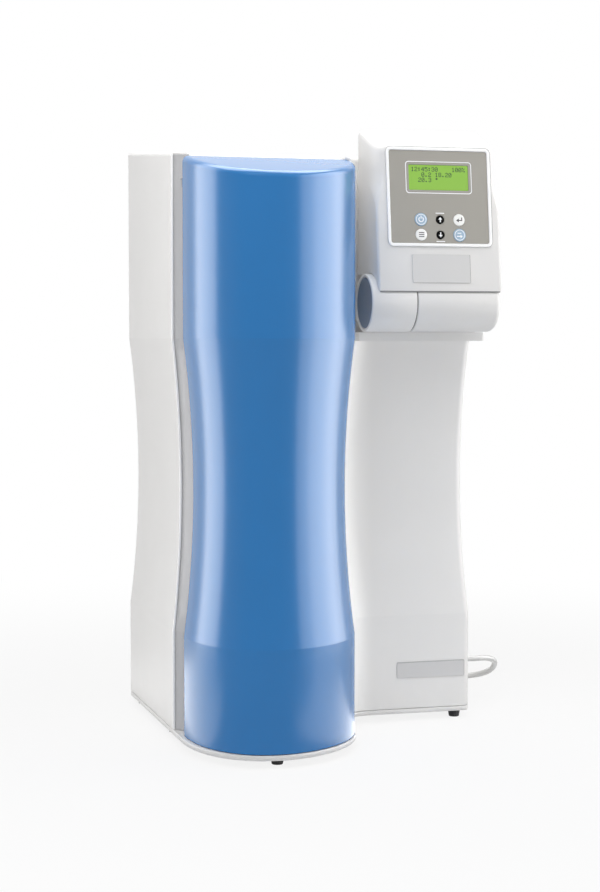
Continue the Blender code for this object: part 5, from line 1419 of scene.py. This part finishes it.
class WATERUNIT_OT_studio(bpy.types.Operator):
    """Makes the floor, the soft lamps, the plain backdrop and the camera"""
    bl_idname = "water_unit.studio"
    bl_label = "Studio"

    def execute(self, context):
        scene = context.scene
        bm = bmesh.new()
        bmesh.ops.create_grid(bm, x_segments=8, y_segments=8, size=6.0)
        floor = made("studio_floor", bm)
        floor.data.materials.append(self.floor_finish())

        world = bpy.data.worlds.new("Studio World")
        graph = cleared(world)
        soft, plain = (graph.wire("ShaderNodeBackground", {"Color": (1, 1, 1, 1), "Strength": s})
                       for s in (0.25, 1.0))
        both = graph.shaders(self.seen(graph), soft, plain)
        graph.add("ShaderNodeOutputWorld", {"Surface": both})
        scene.world = world

        for name, azimuth, reach, height, size, radiance, kind in RING_LAMPS:
            turn = math.radians(azimuth)
            target = Vector((*DOOR_AXIS, height))
            place = target + Vector((math.cos(turn) * reach, math.sin(turn) * reach, 0.0))
            self.lamp(name, place, target, size, radiance, kind)
        for name, place, target, size, radiance, kind in LAMPS:
            self.lamp(name, Vector(place), Vector(target), size, radiance, kind)

        camera = bpy.data.cameras.new("studio_camera")
        camera.lens = 78.70
        camera.sensor_width = 36.0
        camera.clip_start = 0.05
        eye = bare("studio_camera", camera)
        eye.location = (-0.5692, -1.9243, 0.4060)
        eye.rotation_euler = (math.radians(86.722), 0.0, math.radians(-15.85))
        scene.camera = eye
        scene.view_settings.view_transform = "Standard"
        return {"FINISHED"}

    def seen(self, graph):
        """1 for rays from the camera, in gloss or through glass, and 0 for others."""
        path = graph.add("ShaderNodeLightPath")
        camera, glossy, through = (Wire(graph, path.outputs[name]) for name in (
            "Is Camera Ray", "Is Glossy Ray", "Is Transmission Ray"))
        return camera.math("MAXIMUM", glossy).math("MAXIMUM", through)

    def lamp(self, name, place, target, size, radiance, kind):
        """A soft lamp of even radiance that lights surfaces, or only shows in their gloss."""
        data = bpy.data.lights.new(name, "AREA")
        data.shape = "RECTANGLE"
        data.size, data.size_y = size
        data.energy = radiance * math.pi * size[0] * size[1]
        obj = bare(name, data)
        obj.location = place
        obj.rotation_euler = (target - place).to_track_quat("-Z", "Y").to_euler()
        obj.visible_camera = False
        obj.visible_diffuse = kind != "gloss"
        obj.visible_glossy = kind != "light"

    def floor_finish(self):
        """A pale floor that fades into the white backdrop away from the unit."""
        material = bpy.data.materials.new("Studio Floor")
        graph = cleared(material)
        plain = graph.wire("ShaderNodeBsdfDiffuse", {"Color": (0.82, 0.82, 0.82, 1)})
        white = graph.wire("ShaderNodeEmission", {"Color": (1, 1, 1, 1), "Strength": 1.0})
        away = graph.wire("ShaderNodeVectorMath", {0: graph.place()}, "Value",
                          operation="LENGTH").between(0.35, 1.3)
        both = graph.shaders(self.seen(graph) * (away * 0.15 + 0.85), plain, white)
        graph.add("ShaderNodeOutputMaterial", {"Surface": both})
        return material


OPERATORS = (
    WATERUNIT_OT_studio, WATERUNIT_OT_hose, WATERUNIT_OT_casing, WATERUNIT_OT_bay,
    WATERUNIT_OT_door, WATERUNIT_OT_hinge_barrel, WATERUNIT_OT_head, WATERUNIT_OT_keypad,
    WATERUNIT_OT_keys, WATERUNIT_OT_plates, WATERUNIT_OT_rear, WATERUNIT_OT_inside,
)


class WATERUNIT_PT_sidebar(bpy.types.Panel):
    """Lists the unit's pieces, sizes and colours"""
    bl_idname = "WATERUNIT_PT_sidebar"
    bl_label = "Water Unit"
    bl_space_type = "VIEW_3D"
    bl_region_type = "UI"
    bl_category = "Water Unit"

    def draw(self, context):
        for operator in OPERATORS:
            self.layout.operator(operator.bl_idname)
        for group in (context.scene.water_unit_sizes, context.scene.water_unit_colours):
            column = self.layout.column(align=True)
            for name in group.__annotations__:
                column.prop(group, name)


CLASSES = (WaterUnitSizes, WaterUnitColours) + OPERATORS + (WATERUNIT_PT_sidebar,)


def register():
    for cls in CLASSES:
        bpy.utils.register_class(cls)
    bpy.types.Scene.water_unit_sizes = PointerProperty(type=WaterUnitSizes)
    bpy.types.Scene.water_unit_colours = PointerProperty(type=WaterUnitColours)


def unregister():
    del bpy.types.Scene.water_unit_colours
    del bpy.types.Scene.water_unit_sizes
    for cls in reversed(CLASSES):
        bpy.utils.unregister_class(cls)


def main():
    register()
    for operator in OPERATORS:
        group, name = operator.bl_idname.split(".")
        getattr(getattr(bpy.ops, group), name)()


if __name__ == "__main__":
    main()
